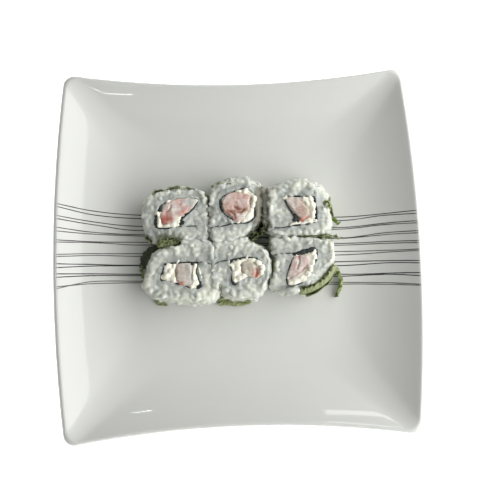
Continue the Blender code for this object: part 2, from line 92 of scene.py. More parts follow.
# The printed lines in pairs: place across the dish at these places along it, in mm, and the ink
LINE_STATIONS = (-126, -100.6, -69.2, 71.4, 101.2, 126)
PRINTED_LINES = (
    ((35.9, 31.3, 28.3, 22.9, 23.6, 23.7), 0.62), ((34.1, 28.8, 25.9, 20.5, 22.2, 21.7), 0.62),
    ((27.6, 23.8, 20.3, 15.6, 16.7, 16.5), 0.5), ((25.5, 21.7, 17.6, 14.5, 15.8, 14.9), 0.5),
    ((19.4, 16.5, 14.6, 8.2, 10.1, 9.6), 0.45), ((16.7, 15.1, 13.7, 7.8, 8.8, 7.9), 0.45),
    ((10.6, 9.8, 9.1, 4.2, 4.0, 2.5), 0.55), ((8.9, 9.2, 7.3, 3.1, 2.8, 1.2), 0.55),
    ((0.4, 1.6, 1.2, -1.4, -2.1, -3.0), 0.2), ((-1.0, 0.3, -0.6, -3.8, -3.4, -3.8), 0.2),
    ((-5.5, -5.9, -6.8, -8.6, -9.2, -11.1), 0.9), ((-8.4, -7.0, -7.1, -11.2, -10.8, -12.8), 0.9),
    ((-12.4, -12.2, -13.2, -17.4, -18.0, -19.1), 1.0), ((-15.1, -13.5, -14.0, -18.7, -18.7, -21.3), 1.0),
    ((-21.4, -19.0, -19.0, -24.2, -25.5, -27.9), 0.15), ((-23.1, -17.6, -18.0, -22.9, -24.6, -27.2), 0.15),
)

# Gaps between the seaweed and a filling, where the fillings sink and a dark seaweed ball paints the hollow's shade
# black: place and reach in mm
GAPS = {
    "1": (
        (-51.6, 29.3, 1.3), (-51.7, 27.4, 1.1), (-49, 32.2, 0.7), (-54.8, 23.6, 0.9), (-54.8, 21, 1.0),
        (-54.9, 18.4, 0.9), (-54.6, 16.4, 0.8), (-34.6, 24.2, 0.8), (-36.6, 22, 1.0), (-37.2, 19.6, 1.3),
        (-36.9, 17.8, 1.1), (-38.6, 18, 0.7),
    ),
    "2": (
        (-11.6, 32.4, 0.8), (-11.4, 30.4, 0.9), (-11.2, 28.4, 0.9), (-10.6, 26.2, 0.8), (-7.0, 21.4, 0.8),
        (-5.6, 19.6, 1.2), (-4.6, 18, 0.9), (11.4, 22.4, 0.6),
    ),
    "3": (
        (37.6, 21.4, 1.2), (38.6, 19.6, 1.6), (37.4, 18.4, 1.3), (40, 18.1, 0.9), (51.5, 32.8, 0.8),
        (51.6, 31.2, 0.7), (52.4, 25.2, 0.7), (52.2, 21.6, 0.7), (52.1, 19.4, 0.8),
    ),
    "4": (
        (-26.1, -21.2, 0.8), (-26.2, -23.4, 1.1), (-27.4, -24.4, 1.2), (-51, -14.6, 0.7),
        (-48.9, -8.6, 0.7), (-31.2, -8.9, 0.8),
    ),
    "5": (
        (-5.4, -20.8, 0.7), (-4.8, -22.6, 0.9), (-3.6, -23.4, 0.8), (-5.4, -7.8, 1.0), (-2.6, -7.0, 0.8),
        (0.4, -6.4, 0.8),
    ),
    "6": (
        (37.2, -4.2, 1.1), (39, -3.8, 1.2), (41, -3.4, 1.4), (43, -2.9, 1.5), (45, -2.5, 1.6),
        (47, -2, 1.7), (48.6, -1.4, 1.3), (52.5, -1.6, 0.8), (51, -9, 0.8),
    ),
}

# Stretches where rice and cheese close over the seaweed: place and reach in mm
COVERED = {
    "1": (
        (-47.6, 31.6, 2), (-45, 33.2, 2.4), (-41.5, 34.8, 3), (-37, 35.6, 3), (-32, 35.8, 3),
        (-28, 35.4, 2), (-42.4, 15.6, 1.4), (-40, 16.2, 1.0), (-53.8, 25.8, 1.2),
    ),
    "2": ((10.8, 28, 2), (12, 32, 3), (11.2, 36, 2.4), (7, 40.6, 1.6), (9.6, 38.6, 1.4), (-1, 37.6, 1.2)),
    "3": (
        (43, 15, 1.6), (36, 34.4, 1.4), (44, 34.2, 1.2), (48, 34.8, 1.2), (52.4, 28.6, 1.4),
        (34, 29.6, 1.0), (48.4, 16, 1.2),
    ),
    "4": (
        (-52, -17, 1.2), (-48, -20.4, 1.8), (-44, -21, 1.6), (-37.6, -23, 1.6), (-31, -24.6, 1.6),
        (-29.4, -18, 1.6),
    ),
    "5": (
        (13.6, -18.6, 3.4), (8.5, -19.8, 3), (3.5, -19.6, 3), (-0.4, -22, 2), (16, -13.5, 3), (13, -9, 2),
        (-5.4, -15.6, 1.0),
    ),
    "6": ((50.4, -12, 2), (47.4, -15, 1.6), (46, -18.8, 1.4), (43.4, -22.4, 2), (36.4, -25, 1.6)),
}

# Outline of the prawn on the cut face, in mm
PRAWN_EDGES = {
    "1": (
        (-50.6, 19.8), (-50.1, 17.5), (-47.1, 18.0), (-44.8, 20.1), (-42.0, 21.7), (-39.8, 22.8),
        (-37.3, 23.9), (-34.8, 25.5), (-33.1, 27.7), (-30.8, 27.6), (-28.0, 31.8), (-29.0, 33.9),
        (-32.4, 34.5), (-35.7, 34.6), (-39.0, 34.5), (-41.2, 34.2), (-44.6, 33.2), (-47.7, 31.5),
        (-49.1, 29.2), (-50.8, 25.4), (-51.4, 22.6),
    ),
    "2": (
        (-10.4, 29.2), (-9.4, 33.1), (-7.7, 35.6), (-3.9, 37.4), (1.1, 37.7), (4.4, 36.6), (8.0, 35.2),
        (10.0, 33.6), (9.4, 30.3), (7.6, 26.8), (5.9, 24.0), (4.6, 21.4), (3.3, 19.2), (0.5, 17.9),
        (-2.0, 18.6), (-3.6, 21.1), (-6.3, 24.0), (-9.1, 25.8),
    ),
    "3": (
        (32.2, 32.3), (34.3, 33.4), (37.1, 33.3), (39.6, 32.7), (42.6, 30.0), (45.3, 27.6), (46.8, 24.8),
        (47.8, 21.9), (47.2, 19.9), (44.9, 18.8), (43.7, 17.2), (42.1, 17.2), (40.5, 18.9), (38.4, 22.7),
        (36.3, 26.2), (33.8, 29.7),
    ),
    "4": (
        (-42.0, -11.0), (-39.8, -9.1), (-34.8, -8.9), (-31.8, -9.9), (-30.7, -11.9), (-31.2, -16.3),
        (-30.9, -19.6), (-31.8, -22.7), (-33.2, -24.1), (-35.1, -23), (-37.3, -22.6), (-39.5, -22.2),
        (-40.5, -20.4), (-42.1, -18.7), (-42.1, -14.9),
    ),
    "5": (
        (1.1, -10.7), (3.9, -8.5), (6.1, -8.6), (8.8, -9.8), (11.5, -12.1), (12.5, -13.8), (13.1, -16.6),
        (12.2, -18.7), (10.7, -19.5), (8.5, -19.0), (5.8, -18.1), (3.6, -17.2), (2.0, -16.2), (0.7, -14.0),
    ),
    "6": (
        (35.3, -8.1), (37.2, -6.2), (40.6, -5.2), (43.4, -5.5), (45.5, -6.8), (46.5, -9.6), (45.8, -12.3),
        (43.5, -14.5), (40.7, -16.6), (37.8, -18.7), (34.4, -20.8), (31.9, -21.4), (30.9, -20.2),
        (31.9, -17.4), (33.2, -14.2), (34.3, -11.4),
    ),
}

# Dabs of cream cheese that stand up or smear over the seaweed: place, length, width in mm, turn
CHEESE_DABS = {
    "1": (
        (-53.4, 24.6, 2.6, 1.8, 120), (-52.3, 20.6, 4, 2, 95), (-52.4, 17.6, 2.6, 2, 60),
        (-41.6, 19.4, 3.6, 2.6, 30), (-46.6, 16.8, 3.4, 1.4, 0), (-43.6, 17.4, 3.4, 2.2, 10),
        (-39, 18.6, 2.4, 2.6, 60), (-45.6, 33, 3, 0.8, 20), (-27.6, 33, 2.4, 0.8, -70),
    ),
    "2": (
        (6.4, 21.2, 4.4, 3.2, 50), (3.6, 18.6, 3.6, 2, 10), (0, 17.6, 2.4, 1.0, 0), (5, 38.6, 3.2, 2, 60),
        (1, 38.6, 3, 1.2, 10), (10.8, 33, 3.4, 1.8, 80), (10, 29, 3.2, 1.6, 70), (8.6, 25.2, 2.8, 1.8, 60),
    ),
    "3": (
        (48.6, 32.4, 3.4, 2.8, 80), (49.6, 28.6, 4.2, 3, 85), (50.6, 25.4, 3.2, 2.4, 90),
        (49.8, 21.6, 4.0, 2.4, 90), (51.6, 17.6, 2.6, 1.2, 20), (31.6, 33.3, 2.6, 1.2, 0),
        (32.4, 34.4, 2, 0.9, 60), (35.9, 15.6, 3.2, 0.9, 20), (45.6, 32.2, 4.2, 2.2, 0),
        (46.6, 29, 3.4, 2, 120), (47, 17.2, 4, 1.4, 5), (44.6, 16.6, 2.4, 1.0, 0),
    ),
    "4": (
        (-47.3, -10, 4.4, 2.8, 20), (-45.4, -13, 4.6, 2.8, 70), (-48.6, -16.4, 4.2, 2.4, 40),
        (-44, -18.4, 3.4, 2.2, -10), (-43.4, -10.6, 4, 1.6, 70), (-40.6, -7, 3.4, 0.7, 55),
        (-30.6, -16.4, 6, 1.6, 95), (-29.6, -11.2, 3.6, 0.9, 75), (-29.6, -21.6, 4.6, 2.2, 20),
        (-32.2, -23.8, 2.6, 1.2, -40), (-26.4, -14, 4.6, 0.7, 105), (-25.6, -17.6, 2.4, 0.7, 80),
    ),
    "5": (
        (-6.2, -10.4, 2.8, 1.1, -30), (-4.6, -12.6, 2.8, 1.1, -65), (-3.4, -16.6, 3.6, 2.4, 70),
        (-3.6, -20.6, 2.6, 1.8, 80), (-0.6, -18.8, 4, 2.8, 20), (2.6, -17.8, 3.4, 1.6, 15),
        (-1.4, -9, 4, 2.2, 10), (-1.2, -13, 4, 3.4, 60), (5, -5.6, 2.8, 0.9, 65), (8.2, -7.8, 4.6, 2.2, -5),
        (12.2, -9.8, 4, 2.4, -45), (14.8, -12.8, 3.6, 2.2, -70), (14, -16, 2.6, 1.6, 60),
    ),
    "6": (
        (48.8, -3.6, 4.6, 3.2, 40), (50, -7.2, 4.2, 2.6, 80), (48, -10.4, 3.8, 2.4, 60),
        (46.6, -14.4, 4, 2.4, 70), (44.6, -17.8, 4.6, 3, 55), (41.4, -20.6, 4.8, 3.2, 30),
        (37, -22.4, 4.6, 2.6, 15), (33.4, -23.6, 3.4, 1.8, 5),
    ),
}

# Colour of the prawn's flesh, and the spots where it differs, one of them a painted highlight: place and reach in mm,
# colour, strength
FLESH = {
    "1": (
        "#ddcdc4",
        (
            (-49.2, 19.4, 3.8, "skin", 1.0), (-47, 22.2, 3.6, "brick", 0.8),
            (-44.6, 20.8, 1.4, "skin", 0.6), (-36.6, 25.2, 1.6, "coral", 0.9),
            (-34.2, 28, 1.8, "rose", 0.7), (-39.6, 24.4, 1.6, "brick", 0.5), (-39, 32.4, 2.8, "rose", 0.55),
            (-43.4, 28.6, 2.6, "pale", 0.7), (-47.4, 26.4, 2.2, "rose", 0.35),
            (-30, 31.6, 3.4, "tip", 0.95), (-33.4, 32.6, 2.4, "tip", 0.6), (-45.4, 27.2, 1.0, "ochre", 0.4),
        ),
    ),
    "2": (
        "#d6b9ae",
        (
            (-6, 23.4, 2.0, "brick", 0.7), (-4.4, 25.2, 1.3, "crease", 0.8),
            (-3.6, 21.8, 1.2, "crease", 0.7), (-0.8, 27.4, 1.5, "crease", 0.7),
            (1.2, 26, 1.4, "brick", 0.6), (-8.9, 29, 1.8, "tan", 0.7), (-8.2, 25.6, 1.4, "tan", 0.7),
            (-6.4, 34, 3.0, "pale", 0.55), (4.8, 25.6, 1.7, "ochre", 0.8), (-1, 24, 1.4, "tan", 0.5),
            (5.2, 34.6, 2.6, "rose", 0.25), (4, 31, 3, "pale", 0.4), (1.8, 20.6, 2.6, "white", 0.75),
            # The white spot at 8.4, 31 is a painted highlight on the prawn's right edge
            (4.6, 22, 2.4, "white", 0.9), (8.4, 31, 2.0, "white", 0.7), (-1.6, 19.8, 1.4, "rose", 0.5),
            (-2.2, 24.8, 1.2, "crease", 0.8), (2.4, 24.4, 1.1, "ochre", 0.8),
        ),
    ),
    "3": (
        "#c9b7aa",
        (
            (42.9, 17.4, 1.6, "coral", 1.0), (45.4, 19.0, 1.2, "coral", 0.9),
            (47.4, 20.4, 1.0, "coral", 0.8), (41, 18.9, 1.0, "coral", 0.8), (42.8, 25.2, 3.0, "tan", 0.7),
            (43.4, 21.6, 2.0, "tan", 0.5), (35, 31.8, 2.6, "pale", 0.7), (38.6, 28, 2.6, "pale", 0.5),
            (45.8, 23.6, 1.6, "cream", 0.6), (44.8, 27.4, 1.4, "cream", 0.5),
        ),
    ),
    "4": (
        "#c8c3b8",
        (
            (-38.2, -21.6, 1.4, "coral", 1.0), (-40.8, -20.2, 1.2, "rose", 0.8),
            (-41.9, -15.4, 1.3, "ochre", 0.9), (-41.6, -12.2, 1.0, "ochre", 0.6),
            (-39.6, -12, 2.0, "rose", 0.35), (-36.4, -14, 3, "tan", 0.25), (-32.4, -11, 2.6, "tip", 0.6),
            (-33.4, -20, 2.6, "pale", 0.5),
        ),
    ),
    "5": (
        "#cac2b0",
        (
            (12.0, -14.8, 1.2, "coral", 0.85), (11.6, -17, 1.3, "coral", 0.95),
            (10.6, -18.6, 1.1, "coral", 0.8), (9.2, -17, 1.6, "rose", 0.75), (9.6, -14.2, 1.4, "rose", 0.5),
            (4, -12.2, 3.0, "grey", 0.45), (1.4, -14.4, 1.0, "tan", 0.5), (10, -11.6, 1.4, "pale", 0.7),
        ),
    ),
    "6": (
        "#d5c6bd",
        (
            (40.6, -10.4, 1.8, "pale", 0.8), (39.2, -6.6, 1.8, "rose", 0.5), (33.2, -19, 2.2, "grey", 0.7),
            (36, -12.6, 2.0, "rose", 0.3), (44, -9.6, 1.8, "rose", 0.3), (38, -17.2, 1.2, "tan", 0.6),
            (43, -14, 1.2, "tan", 0.5), (37.6, -9, 1.4, "white", 0.4),
        ),
    ),
}
FLESH_COLOURS = {
    "skin": "#96422f", "brick": "#b56a55", "coral": "#cd6a54", "rose": "#cf9a92", "pale": "#e0d9d2", "white": "#f0eadf",
    "crease": "#8c5440", "ochre": "#a5804a", "tan": "#b8988a", "grey": "#aaa8a0", "tip": "#c6cbc5", "cream": "#dcd5b8",
}

# How dark the prawn's folds are in each roll, from 0 to 1
CREASE_SHARE = {"1": 0.3, "2": 0.65, "3": 0.3, "4": 0.3, "5": 0.3, "6": 0.3}

# Folds in the prawn, as lines from point to point in mm
FOLDS = {
    "1": (((-48, 26), (-45.4, 27.4), (-44.6, 30)),),
    "2": (
        ((-7.4, 25.4), (-4.4, 24.4), (-2.4, 22.4), (-2.2, 20.6)), ((-2.6, 28), (0, 26.6), (2.4, 26.4)),
        ((-0.6, 24.4), (2, 24.2), (4, 26)), ((9.2, 34.6), (8, 31), (8.6, 28)),
    ),
    "3": (((40.8, 18.9), (42.9, 17.8), (45.4, 19.2), (47.2, 20.6)),),
    "4": (((-42.4, -10.8), (-41.8, -14), (-41.8, -18)), ((-31.6, -10.4), (-31.2, -15), (-31.4, -19.6))),
    "5": (((1.2, -11), (0.9, -13.6), (2.2, -16)), ((11, -13), (11.2, -16), (10, -18.6))),
    "6": (((32.4, -20.6), (36.4, -18.8), (41, -15.6), (44.8, -12)), ((39.4, -5.8), (39.6, -10), (38, -14))),
}

# Places where the rice slumps below the cut: start in mm, way in degrees, width and drop in mm
SAGS = {
    "1": ((-58, 26, 180, 8, 1.6), (-45.5, 12, -112, 5, 4)),
    "2": ((13.4, 30, 0, 7, 9), (4.5, 12.5, -48, 7, 9)),
    "3": ((56, 27, 25, 5, 4),),
    "5": ((17, -8, 12, 6, 2.5),),
    "6": ((51, -17.5, -45, 7, 8), (35, -24.2, -90, 3, 9)),
}

# Places where the shadow of roll 3 is painted onto roll 2's slumped rice as a dark colour: place and reach in mm
SHADOWED_RICE = {
    "2": (
        (17.8, 38, 5.8), (17.2, 32, 7), (16.8, 25, 7), (16.6, 19, 5.6), (17, 14, 5), (14, 11, 3),
        (10, 7, 3.4),
    ),
}

# Places where light is painted onto the side of roll 4's rice as a paler colour, where it faces away from the window:
# place and reach in mm
LIT_RICE = {
    "4": ((-18.6, -15, 4.6), (-18.6, -21, 5), (-19.4, -28, 5.6), (-24, -31, 4.6)),
}

# Seams between rolls that the rice closes: depth below the cut, and lines, in mm
BRIDGES = {
    "2": ((4.8, ((17.6, 40), (18.4, 32), (18.4, 24), (17.8, 17))), (4.8, ((20.4, 39), (21, 30), (21, 22)))),
    "4": (
        (1.2, ((-36.3, 6.2), (-31.1, 5.7), (-25.1, 5.5), (-19.8, 4.7))),
        (1.2, ((-17.9, 2.0), (-18.0, -2.7), (-18.5, -7.3))),
    ),
    "5": (
        (1.2, ((-15.2, 3.6), (-8.5, 4.4), (-1.9, 5.2), (4.1, 6.0))),
        (1.4, ((-16.9, -10.7), (-16.7, -17.3), (-16.3, -24.3))),
    ),
}

# Lump of loose rice at the near side of roll 6: place and size in mm
LOOSE_LUMP = ((34.6, -28.4, 25.2), (11.2, 6, 5.2))

# How yellow each leaf is, from 0 to 1
LEAVES = {
    "leaf_1_back": 0.1, "leaf_1_corner": 0.15, "leaf_1_side": 0.25, "leaf_2_corner": 0.1, "leaf_2_front": 0.15,
    "leaf_3_side": 0.5, "leaf_4_side": 0.2, "leaf_6_front": 0.55, "leaf_1_4": 0.45, "leaf_3_6": 0.3, "leaf_5_6": 0.3,
    "leaf_4_front": 0.3, "leaf_5_front": 0.6, "leaf_6_curl": 0.35,
}

# Ruffled edges of the leaves: the path in mm, low and high edge, how far the high edge leans
# to the left of the path, how far it folds to and fro, in mm, and how yellow it is, where below 0 is a dark leaf that
# paints shadow
FRILLS = {
    "leaf_1_back": ((((-58.6, 38.2), (-55.6, 40.2), (-51.6, 41.2)), 18, 27.5, 0.4, 0.9, 0.1),),
    "leaf_1_side": (
        (((-65, 24), (-65.2, 19), (-63.4, 14), (-60, 9.8), (-56.6, 7.6)), 8, 20, 1.6, 0.8, 0.75),
    ),
    "leaf_1_4": (
        (((-55, 7), (-50, 8), (-44, 8.6), (-36.4, 8)), 15, 29, 1.6, 1.5, 0.6),
        (((-54.6, 5), (-48, 5.8), (-42, 6.8), (-36, 7)), 14, 28, 0.4, 1.4, 0.5),
        (((-54, 3), (-47, 3.6), (-40, 5)), 24, 27.6, 4.5, 1.2, 0.5),
    ),
    "leaf_2_front": (
        (((0.6, 7), (5.2, 10.6), (9.5, 13), (13.5, 14.6), (19, 13.6)), 14, 28, 0.5, 1.5, 0.5),
        (((3, 5.2), (8, 5.6), (12.5, 8.4), (16, 11.2)), 12, 27.4, -0.3, 1.4, 0.55),
        (((5.5, 7.6), (9.5, 9.6), (13.5, 11.6), (18, 12)), 13, 27.6, 0.3, 1.3, 0.25),
    ),
    "leaf_3_side": (
        (
            ((57.6, 30.6), (59, 31.9), (61, 32), (62.9, 30.2), (63.2, 27.4), (60.6, 26)), 25, 29.8, -2.2,
            0.6, 0.95,
        ),
        (((58.4, 29.4), (60.4, 30.2), (61.4, 28.8), (60, 27.4)), 24, 29.6, 0.8, 0.6, 0.9),
        (((63.4, 28.4), (64.6, 23.6), (66.4, 20), (70.2, 17.2)), 8, 14.6, 1.3, 0.6, 0.1),
        (((63.4, 28.4), (64.8, 23.6), (66.6, 20), (70.2, 17.2)), 8, 14.6, -1.3, 0.6, 0.2),
    ),
    "leaf_3_6": (
        (((40.4, 8.6), (46, 9), (52, 8.6), (58, 8), (64, 8.2), (69.4, 6)), 17, 26.4, 0, 1.0, 0.2),
        (((50, 8), (58, 7.4), (64, 7.6), (68.6, 6)), 14, 25.6, -0.3, 0.9, 0.1),
    ),
    "leaf_4_side": (
        (((-64.6, -16.4), (-66.2, -12), (-66.2, -8)), 7.2, 14, 1.4, 0.8, 0.3),
        # Two flat dark sheets laid on the dish left of rolls 1 and 4 paint the shadow there
        (((-65.8, -9.5), (-64.8, -3), (-61.2, 2), (-53.6, 5.6)), 7.4, 9.5, 3.0, 0.4, -1.0),
        (((-65.8, -9.5), (-64.8, -3), (-61.2, 2), (-53.6, 5.6)), 7.4, 9.2, -3.2, 0.4, -1.0),
    ),
    "leaf_5_6": ((((20.6, -3), (22.4, -9.3), (23.2, -13.2), (22.2, -18.6)), 14, 25.6, 0, 0.8, 0.2),),
    "leaf_6_front": (
        (
            ((40.6, -31.4), (46.6, -30.5), (53.6, -27.4), (59.6, -23), (63.8, -17.6), (66.8, -13.6)), 13,
            25.5, 4.4, 1.0, 0.8,
        ),
        (
            ((41, -31), (46.8, -30), (53.6, -26.9), (59.4, -22.6), (63.4, -17.4), (66.2, -14)), 23.6, 25.6,
            3.2, 0.7, 0.6,
        ),
    ),
    "leaf_6_curl": (
        (((65.4, -13), (68, -17.5), (69, -22.4), (68.4, -26), (66.8, -28.6)), 7.4, 12.5, 1.0, 0.8, 0.15),
        (((66.8, -28.6), (67.4, -31), (64.6, -33.2)), 7.2, 10.5, 0.6, 0.6, 0.15),
    ),
    "leaf_4_front": ((((-57.8, -27.6), (-55, -30.2), (-50.2, -30.6)), 7.2, 9.6, -2.0, 0.7, 0.35),),
    "leaf_5_front": (
        (((-15.8, -34.2), (-9, -32.9), (-2, -33), (6.4, -32.1)), 7.2, 9.4, 2.3, 0.8, 0.6),
        (((-15.8, -34.2), (-9, -33.1), (-2, -33.3), (5.4, -32.7)), 7.2, 9, -2.4, 0.8, 0.7),
    ),
}

# Stretches where the rice bulges over a leaf and hides it: place and reach in mm
HIDDEN_LEAF = {
    "leaf_1_back": ((-61.5, 37.4, 5), (-48.6, 42.4, 2.2), (-36, 43, 2)),
    "leaf_2_corner": ((-8, 47, 4), (-17, 40, 2.4)),
    "leaf_1_side": ((-67, 26, 5), (-67, 20, 4), (-65, 14, 3)),
    "leaf_3_side": ((66, 16, 5), (66, 10, 5)),
    "leaf_4_side": ((-66, -20, 4), (-65, -26, 5), (-61, -31, 5)),
}
HUGGING = ("leaf_1_back", "leaf_1_corner", "leaf_1_side", "leaf_2_corner", "leaf_3_side", "leaf_4_side")
FRILL_FOLD = 4.2  # length of one fold to and fro, in mm
LEAF_THICKNESS = 0.26 * MM

# The camera's place in metres and its turns in degrees
CAMERA_PLACE = (-0.0043, -0.04705, 0.44713)
CAMERA_TURNS = (6.34, -1.373, -1.837)

# Small far lamps that the glaze mirrors: the glaze's place, the way to the lamp, size, watts
LAMPS = (
    ("lamp far rim", (-0.09, 0.117, 0.021), (-0.27, -0.66, 0.70), (0.1, 0.012), 0.05),
    ("lamp near wall", (-0.0667, -0.1058, 0.0153), (-0.218, 0.726, 0.653), (0.06, 0.01), 0.04),
    ("lamp near corner", (0.077, -0.110, 0.0171), (0.278, 0.776, 0.566), (0.2, 0.06), 0.17),
)


def linear(code):
    """The linear colour of an sRGB hex value."""
    parts = [int(code[i:i + 2], 16) / 255 for i in (1, 3, 5)]
    return tuple(c / 12.92 if c <= 0.04045 else ((c + 0.055) / 1.055) ** 2.4 for c in parts)


def colour_setting(name, code, description):
    return FloatVectorProperty(
        name=name, description=description, subtype="COLOR", size=3, min=0, max=1, default=linear(code)
    )


def length_setting(name, size, description):
    return FloatProperty(name=name, description=description, default=size, unit="LENGTH", precision=5)


class DishSettings(bpy.types.PropertyGroup):
    glaze: colour_setting("Glaze", "#d9dad5", "Colour of the glazed porcelain")
    glaze_wave: length_setting("Glaze wave", 0.16 * MM, "How far the glaze pools up and down")
    line_width: length_setting("Line width", 0.66 * MM, "Width of a printed line")
    ink_dark: colour_setting("Dark ink", "#1f1e20", "Colour of the darkest printed lines")
    ink_light: colour_setting("Light ink", "#73706c", "Colour of the lightest printed lines")


class RiceSettings(bpy.types.PropertyGroup):
    grain_length: length_setting("Grain length", 5.8 * MM, "Length of a cooked grain")
    grain_width: length_setting("Grain width", 3.1 * MM, "Width of a cooked grain")
    spacing: length_setting("Spacing", 2.7 * MM, "Least distance between the middles of two grains")
    voxel: length_setting("Detail", 0.52 * MM, "Size of the finest detail where grains stick together")
    tries: IntProperty(name="Tries", description="How many places are tried on one roll", default=9000, min=100)
    light: colour_setting("Light rice", "#e1e3d7", "Colour of the palest grains")
    # The grey rice colour also paints the shade in the creases between grains
    shade: colour_setting("Grey rice", "#b4b9b3", "Colour of the most watery grains")
    # Dark rice colour that paints the shadow roll 3 casts on roll 2
    shadowed: colour_setting("Soaked rice", "#7e7d71", "Colour of the rice where it has slumped into the wet")


class FillingSettings(bpy.types.PropertyGroup):
    seaweed: colour_setting("Seaweed", "#1d2426", "Colour of the roasted seaweed")
    cheese: colour_setting("Cream cheese", "#fbf9ea", "Colour of the cream cheese")
    cheese_shade: colour_setting("Cheese shade", "#e6e3cc", "Colour of the cheese where it is damp")
    prawn_dark: FloatProperty(
        name="Fibre depth", description="How much darker the prawn is between its fibres", default=0.16, min=0, max=1
    )


class LeafSettings(bpy.types.PropertyGroup):
    dark: colour_setting("Dark leaf", "#545d44", "Colour of the leaf in its folds")
    light: colour_setting("Light leaf", "#7f8b60", "Colour of the leaf on its crests")
    yellow: colour_setting("Yellow leaf", "#adb485", "Colour of the youngest leaf")
    # Dark grey leaf colour that paints shadow, used for the flat sheets left of rolls 1 and 4
    shaded: colour_setting("Wilted leaf", "#5d5e54", "Colour of the leaf where it is wilted")


class StageSettings(bpy.types.PropertyGroup):
    paper: colour_setting("Table", "#fbfbfa", "Colour of the table")
    room: FloatProperty(name="Room light", description="Brightness of the room", default=0.235, min=0)
    window: FloatProperty(name="Low pane", description="Power of the window's low pane in watts", default=11.0, min=0)
    sky: FloatProperty(name="High pane", description="Power of the window's high pane in watts", default=6.0, min=0)
    side: FloatProperty(
        name="Side light", description="Power of the soft light from the near side, in watts", default=3.3, min=0
    )
    lens: FloatProperty(name="Lens", description="Focal length in millimetres", default=45.79, min=1)


SETTINGS = {
    "uramaki_dish": DishSettings,
    "uramaki_rice": RiceSettings,
    "uramaki_filling": FillingSettings,
    "uramaki_leaf": LeafSettings,
    "uramaki_stage": StageSettings,
}


# Materials


def add_node(tree, kind, inputs=None, **settings):
    """Adds a node, sets it, and links or fills its sockets."""
    node = tree.nodes.new(kind)
    for name, value in settings.items():
        setattr(node, name, value)
    for socket, value in (inputs or {}).items():
        if isinstance(value, bpy.types.NodeSocket):
            tree.links.new(value, node.inputs[socket])
        else:
            node.inputs[socket].default_value = value
    return node


def start_material(name):
    """A new material, its empty tree and the place on the piece that its patterns read."""
    made = bpy.data.materials.new(name)
    made.use_nodes = True
    made.node_tree.nodes.clear()
    place = add_node(made.node_tree, "ShaderNodeTexCoord").outputs["Object"]
    return made, made.node_tree, place


def end_material(made, tree, shader):
    add_node(tree, "ShaderNodeOutputMaterial", {"Surface": shader.outputs["BSDF"]})
    return made


def opaque(colour):
    return (*colour, 1)


def glazed_porcelain(dish):
    """Porcelain, cast in a mould and glazed: even and hard, with reflections that waver where the glaze pools."""
    made, tree, place = start_material("glazed_porcelain")
    # The glaze pools over about 40 mm
    pools = add_node(tree, "ShaderNodeTexNoise", {"Vector": place, "Scale": 25.0, "Detail": 1.0, "Roughness": 0.4})
    bump = add_node(
        tree, "ShaderNodeBump", {"Height": pools.outputs[0], "Strength": 1.0, "Distance": dish.glaze_wave}
    )
    shader = add_node(
        tree, "ShaderNodeBsdfPrincipled",
        {"Base Color": opaque(dish.glaze), "Roughness": 0.05, "IOR": 1.5, "Normal": bump.outputs[0]},
    )
    return end_material(made, tree, shader)


def glaze_ink(dish):
    """Ceramic ink, printed under the glaze: thin and even, a little worn where a line is light."""
    made, tree, place = start_material("glaze_ink")
    tone = add_node(tree, "ShaderNodeAttribute", attribute_name="tone")
    # The print breaks up over about 2 mm
    wear = add_node(tree, "ShaderNodeTexNoise", {"Vector": place, "Scale": 500.0, "Detail": 2.0})
    spread = add_node(tree, "ShaderNodeMapRange", {"Value": wear.outputs[0], "To Min": -0.12, "To Max": 0.12})
    dark = add_node(
        tree, "ShaderNodeMath", {0: tone.outputs["Fac"], 1: spread.outputs[0]}, operation="ADD", use_clamp=True
    )
    colour = add_node(
        tree, "ShaderNodeMix", {0: dark.outputs[0], 6: opaque(dish.ink_light), 7: opaque(dish.ink_dark)},
        data_type="RGBA",
    )
    shader = add_node(
        tree, "ShaderNodeBsdfPrincipled", {"Base Color": colour.outputs[2], "Roughness": 0.12, "IOR": 1.5}
    )
    return end_material(made, tree, shader)


def cooked_rice(rice):
    """Short-grain rice, steamed and dressed with vinegar: soft, watery and milky, so light goes some way in."""
    made, tree, place = start_material("cooked_rice")
    tone = add_node(tree, "ShaderNodeAttribute", attribute_name="tone")
    # Patches of wetter rice are about 5 mm across
    patches = add_node(tree, "ShaderNodeTexNoise", {"Vector": place, "Scale": 200.0, "Detail": 2.0})
    wet = add_node(
        tree, "ShaderNodeMapRange", {"Value": patches.outputs[0], "From Min": 0.3, "From Max": 0.7, "To Min": -0.2,
                                     "To Max": 0.2},
    )
    share = add_node(
        tree, "ShaderNodeMath", {0: tone.outputs["Fac"], 1: wet.outputs[0]}, operation="ADD", use_clamp=True
    )
    colour = add_node(
        tree, "ShaderNodeMix", {0: share.outputs[0], 6: opaque(rice.shade), 7: opaque(rice.light)}, data_type="RGBA"
    )
    # Below 0 the rice takes a dark colour that paints the shadow cast by the next roll
    shadowed = add_node(tree, "ShaderNodeMath", {0: tone.outputs["Fac"], 1: -1.0}, operation="MULTIPLY", use_clamp=True)
    colour = add_node(
        tree, "ShaderNodeMix", {0: shadowed.outputs[0], 6: colour.outputs[2], 7: opaque(rice.shadowed)}, data_type="RGBA"
    )
    # Wet starch on the skin of the grains, about 1.2 mm apart
    starch = add_node(tree, "ShaderNodeTexNoise", {"Vector": place, "Scale": 850.0, "Detail": 2.0})
    bump = add_node(tree, "ShaderNodeBump", {"Height": starch.outputs[0], "Strength": 0.4, "Distance": 0.4 * MM})
    shader = add_node(
        tree, "ShaderNodeBsdfPrincipled",
        {"Base Color": colour.outputs[2], "Roughness": 0.38, "IOR": 1.4, "Subsurface Weight": 1.0,
         "Subsurface Radius": (1.0, 0.97, 0.85), "Subsurface Scale": 4.5 * MM, "Normal": bump.outputs[0]},
        subsurface_method="RANDOM_WALK",
    )
    return end_material(made, tree, shader)


